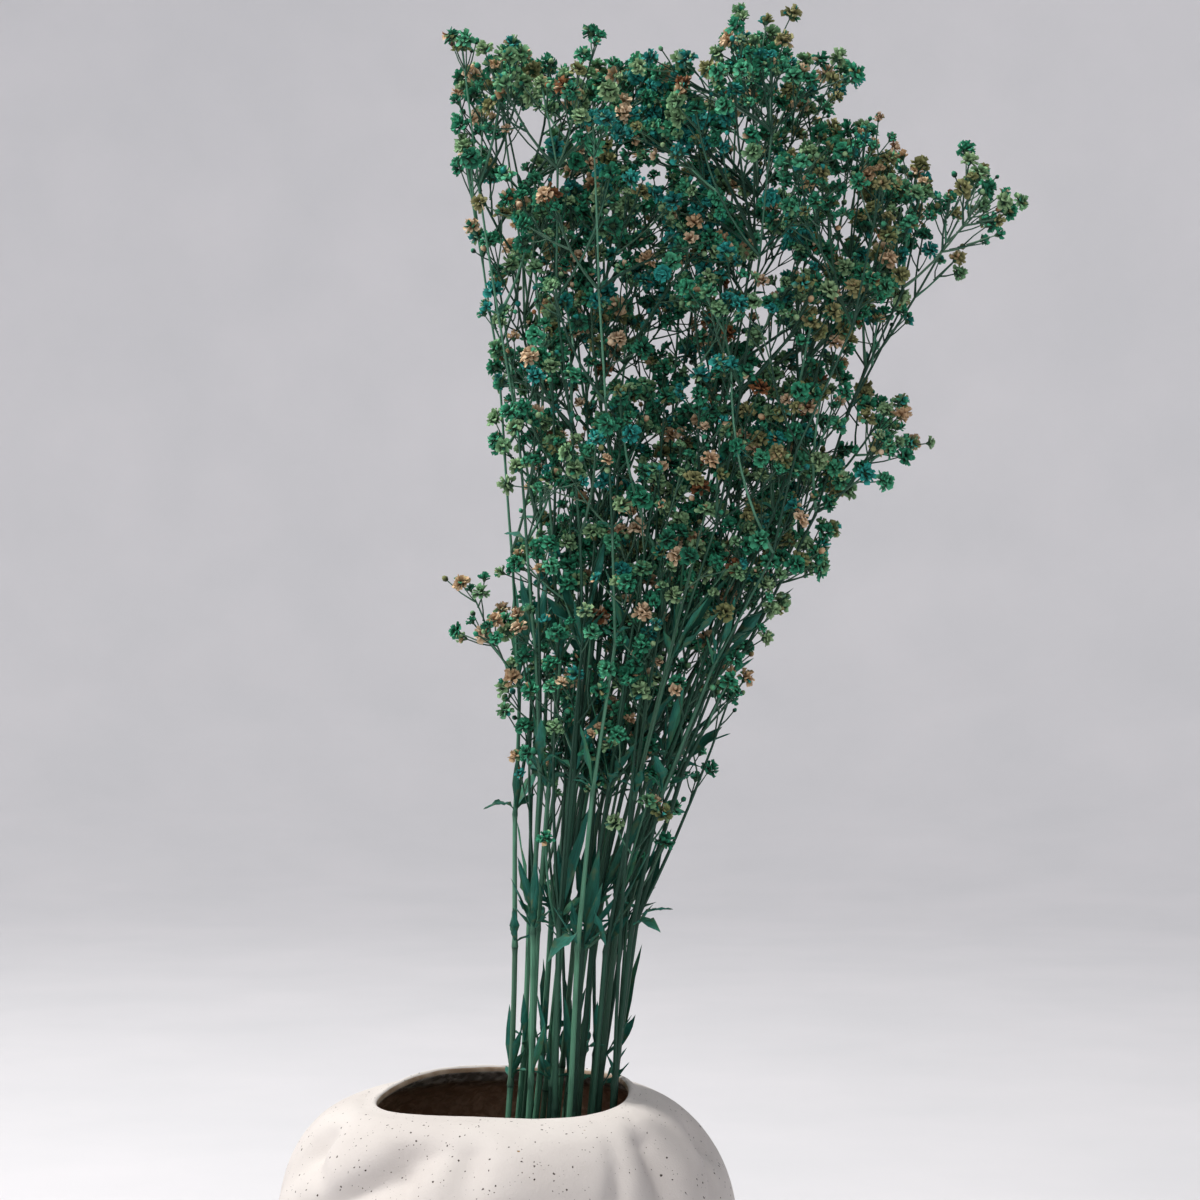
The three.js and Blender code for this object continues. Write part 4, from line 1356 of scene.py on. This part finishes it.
stem_material, add, join = new_material("dyed_stems", 0.7)
place, tone, along = strip_place(add)
stem_tones = ramp(add, tone, stem_strip, [
    (0.0, "#26674f"), (0.22, "#68a686"), (0.4, "#154a37"), (0.6, "#103c2e"), (0.8, "#4f7a61"),
    (1.0, "#82987c"),
])
ribs = streaks(add, place, 700.0, 3.0)
near_joint = ranged(add, along, 0.0, 0.2, 0.5, 0.0)
stem_colour = mixed(add, ranged(add, ribs, 0.35, 0.68, 0.0, 0.6), stem_tones, linear("#1a4433"))
stem_colour = mixed(add, near_joint, stem_colour, linear("#15342a"))
join(stem_colour, "Base Color")
roughen(add, join, ribs, 0.5, 0.0002)

# SPRAYS
# Each spray is one grown thing: its stem with the leaves, branches, pedicels, blooms and buds on it.
# It stands on the vase's floor and rides with the vase.
spray_materials = [stem_material, petal_material, leaf_material]
for number, spray in enumerate(sprays):
    body = new_body()
    add_main_stem(body, spray.stem)
    for place, branch in enumerate(spray.branches):
        add_axis(body, branch, branch_slimness, 6, 70000 + number * 100 + place)
    for leaf in spray.leaves:
        add_leaf(body, leaf, fine_shares, fine_lanes)
    for leaf in spray.bracts:
        add_leaf(body, leaf, small_shares, small_lanes)
    for place, thin in enumerate(spray.late + spray.pedicels):
        add_thin(body, thin, 90000 + number * 500 + place)
    rows = (body.points, body.faces, body.slots, body.uv)
    points, faces, slots, uv = [np.concatenate(row) for row in rows]
    piece = new_object(f"gypsophila_spray_{number + 1:02d}", points, faces, slots, spray_materials, 60, uv)
    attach(piece, "root")
    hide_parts(f"spray_{number + 1:02d}")

# STAGE, LIGHTS AND CAMERA
# A pale sweep: a flat floor that curves up into a plain wall all round, open at the top.
# The key lamp hangs high at the left, a soft one stands in front and two wash the wall; the camera is level.
sweep_profile = [
    (0, 0), (1.2, 0), (2.0, 0), (2.3, 0.02), (2.6, 0.09), (2.85, 0.24), (3.0, 0.45), (3.08, 0.8), (3.1, 1.4),
    (3.1, 3.2),
]
sweep_sides = 96
sweep_points = [[0, 0, 0]]
for radius, height in sweep_profile[1:]:
    for side in range(sweep_sides):
        turn = side / sweep_sides * 2 * math.pi
        sweep_points.append([radius / MM * math.cos(turn), radius / MM * math.sin(turn), height / MM])
first_ring_sides = 1 + np.arange(sweep_sides)
middle_fan = np.stack([np.zeros_like(first_ring_sides), first_ring_sides, np.roll(first_ring_sides, -1)], 1)
sweep_faces = np.concatenate([middle_fan, bands(len(sweep_profile) - 1, sweep_sides, 1)])
sweep_material, add, join = new_material("pale_wall_paint", 0.9)
place = add("ShaderNodeTexCoord").outputs["Object"]
plaster = ranged(add, grain(add, place, 6.0, 5.0), 0.3, 0.7)
join(mixed(add, plaster, linear("#e2e2e5"), linear("#e8e7ea")), "Base Color")
roughen(add, join, grain(add, place, 60.0, 4.0), 0.1, 0.002)
sweep = new_object("floor_sweep", sweep_points, sweep_faces, [0] * len(sweep_faces), [sweep_material], 80)

world = bpy.data.worlds.new("studio")
world.use_nodes = True
world.node_tree.nodes["Background"].inputs[0].default_value = linear("#e6e8ec")
world.node_tree.nodes["Background"].inputs[1].default_value = 0.38
bpy.context.scene.world = world
bunch_middle = Vector((0.05, 0, 0.33))


def new_lamp(name, place, target, size, power, colour):
    lamp = bpy.data.lights.new(name, "AREA")
    lamp.size = size
    lamp.energy = power
    lamp.color = colour
    stand = bpy.data.objects.new(name, lamp)
    stand.location = place
    stand.rotation_euler = (Vector(target) - Vector(place)).to_track_quat("-Z", "Y").to_euler()
    bpy.context.scene.collection.objects.link(stand)


new_lamp("key", (-1.0, 0.1, 2.2), bunch_middle, 0.28, 50, (1.0, 0.975, 0.94))
new_lamp("front", (-0.9, -2.0, 1.1), bunch_middle, 1.3, 7, (0.98, 0.98, 1.0))
new_lamp("left wash", (-1.5, 0.9, 2.4), (-0.6, 3.1, 0.7), 0.8, 2.6, (0.97, 0.98, 1.0))
new_lamp("right wash", (1.6, 0.9, 2.4), (0.8, 3.1, 0.7), 0.8, 2.6, (0.97, 0.98, 1.0))

camera = bpy.data.cameras.new("camera")
camera.sensor_width = 36
camera.lens = 86.25
camera.clip_start = 0.01
camera_stand = bpy.data.objects.new("camera", camera)
camera_stand.location = (0.038, -1.15, 0.349)
camera_stand.rotation_euler = (math.radians(90), 0, 0)
bpy.context.scene.collection.objects.link(camera_stand)
bpy.context.scene.camera = camera_stand
bpy.context.scene.view_settings.view_transform = "Standard"
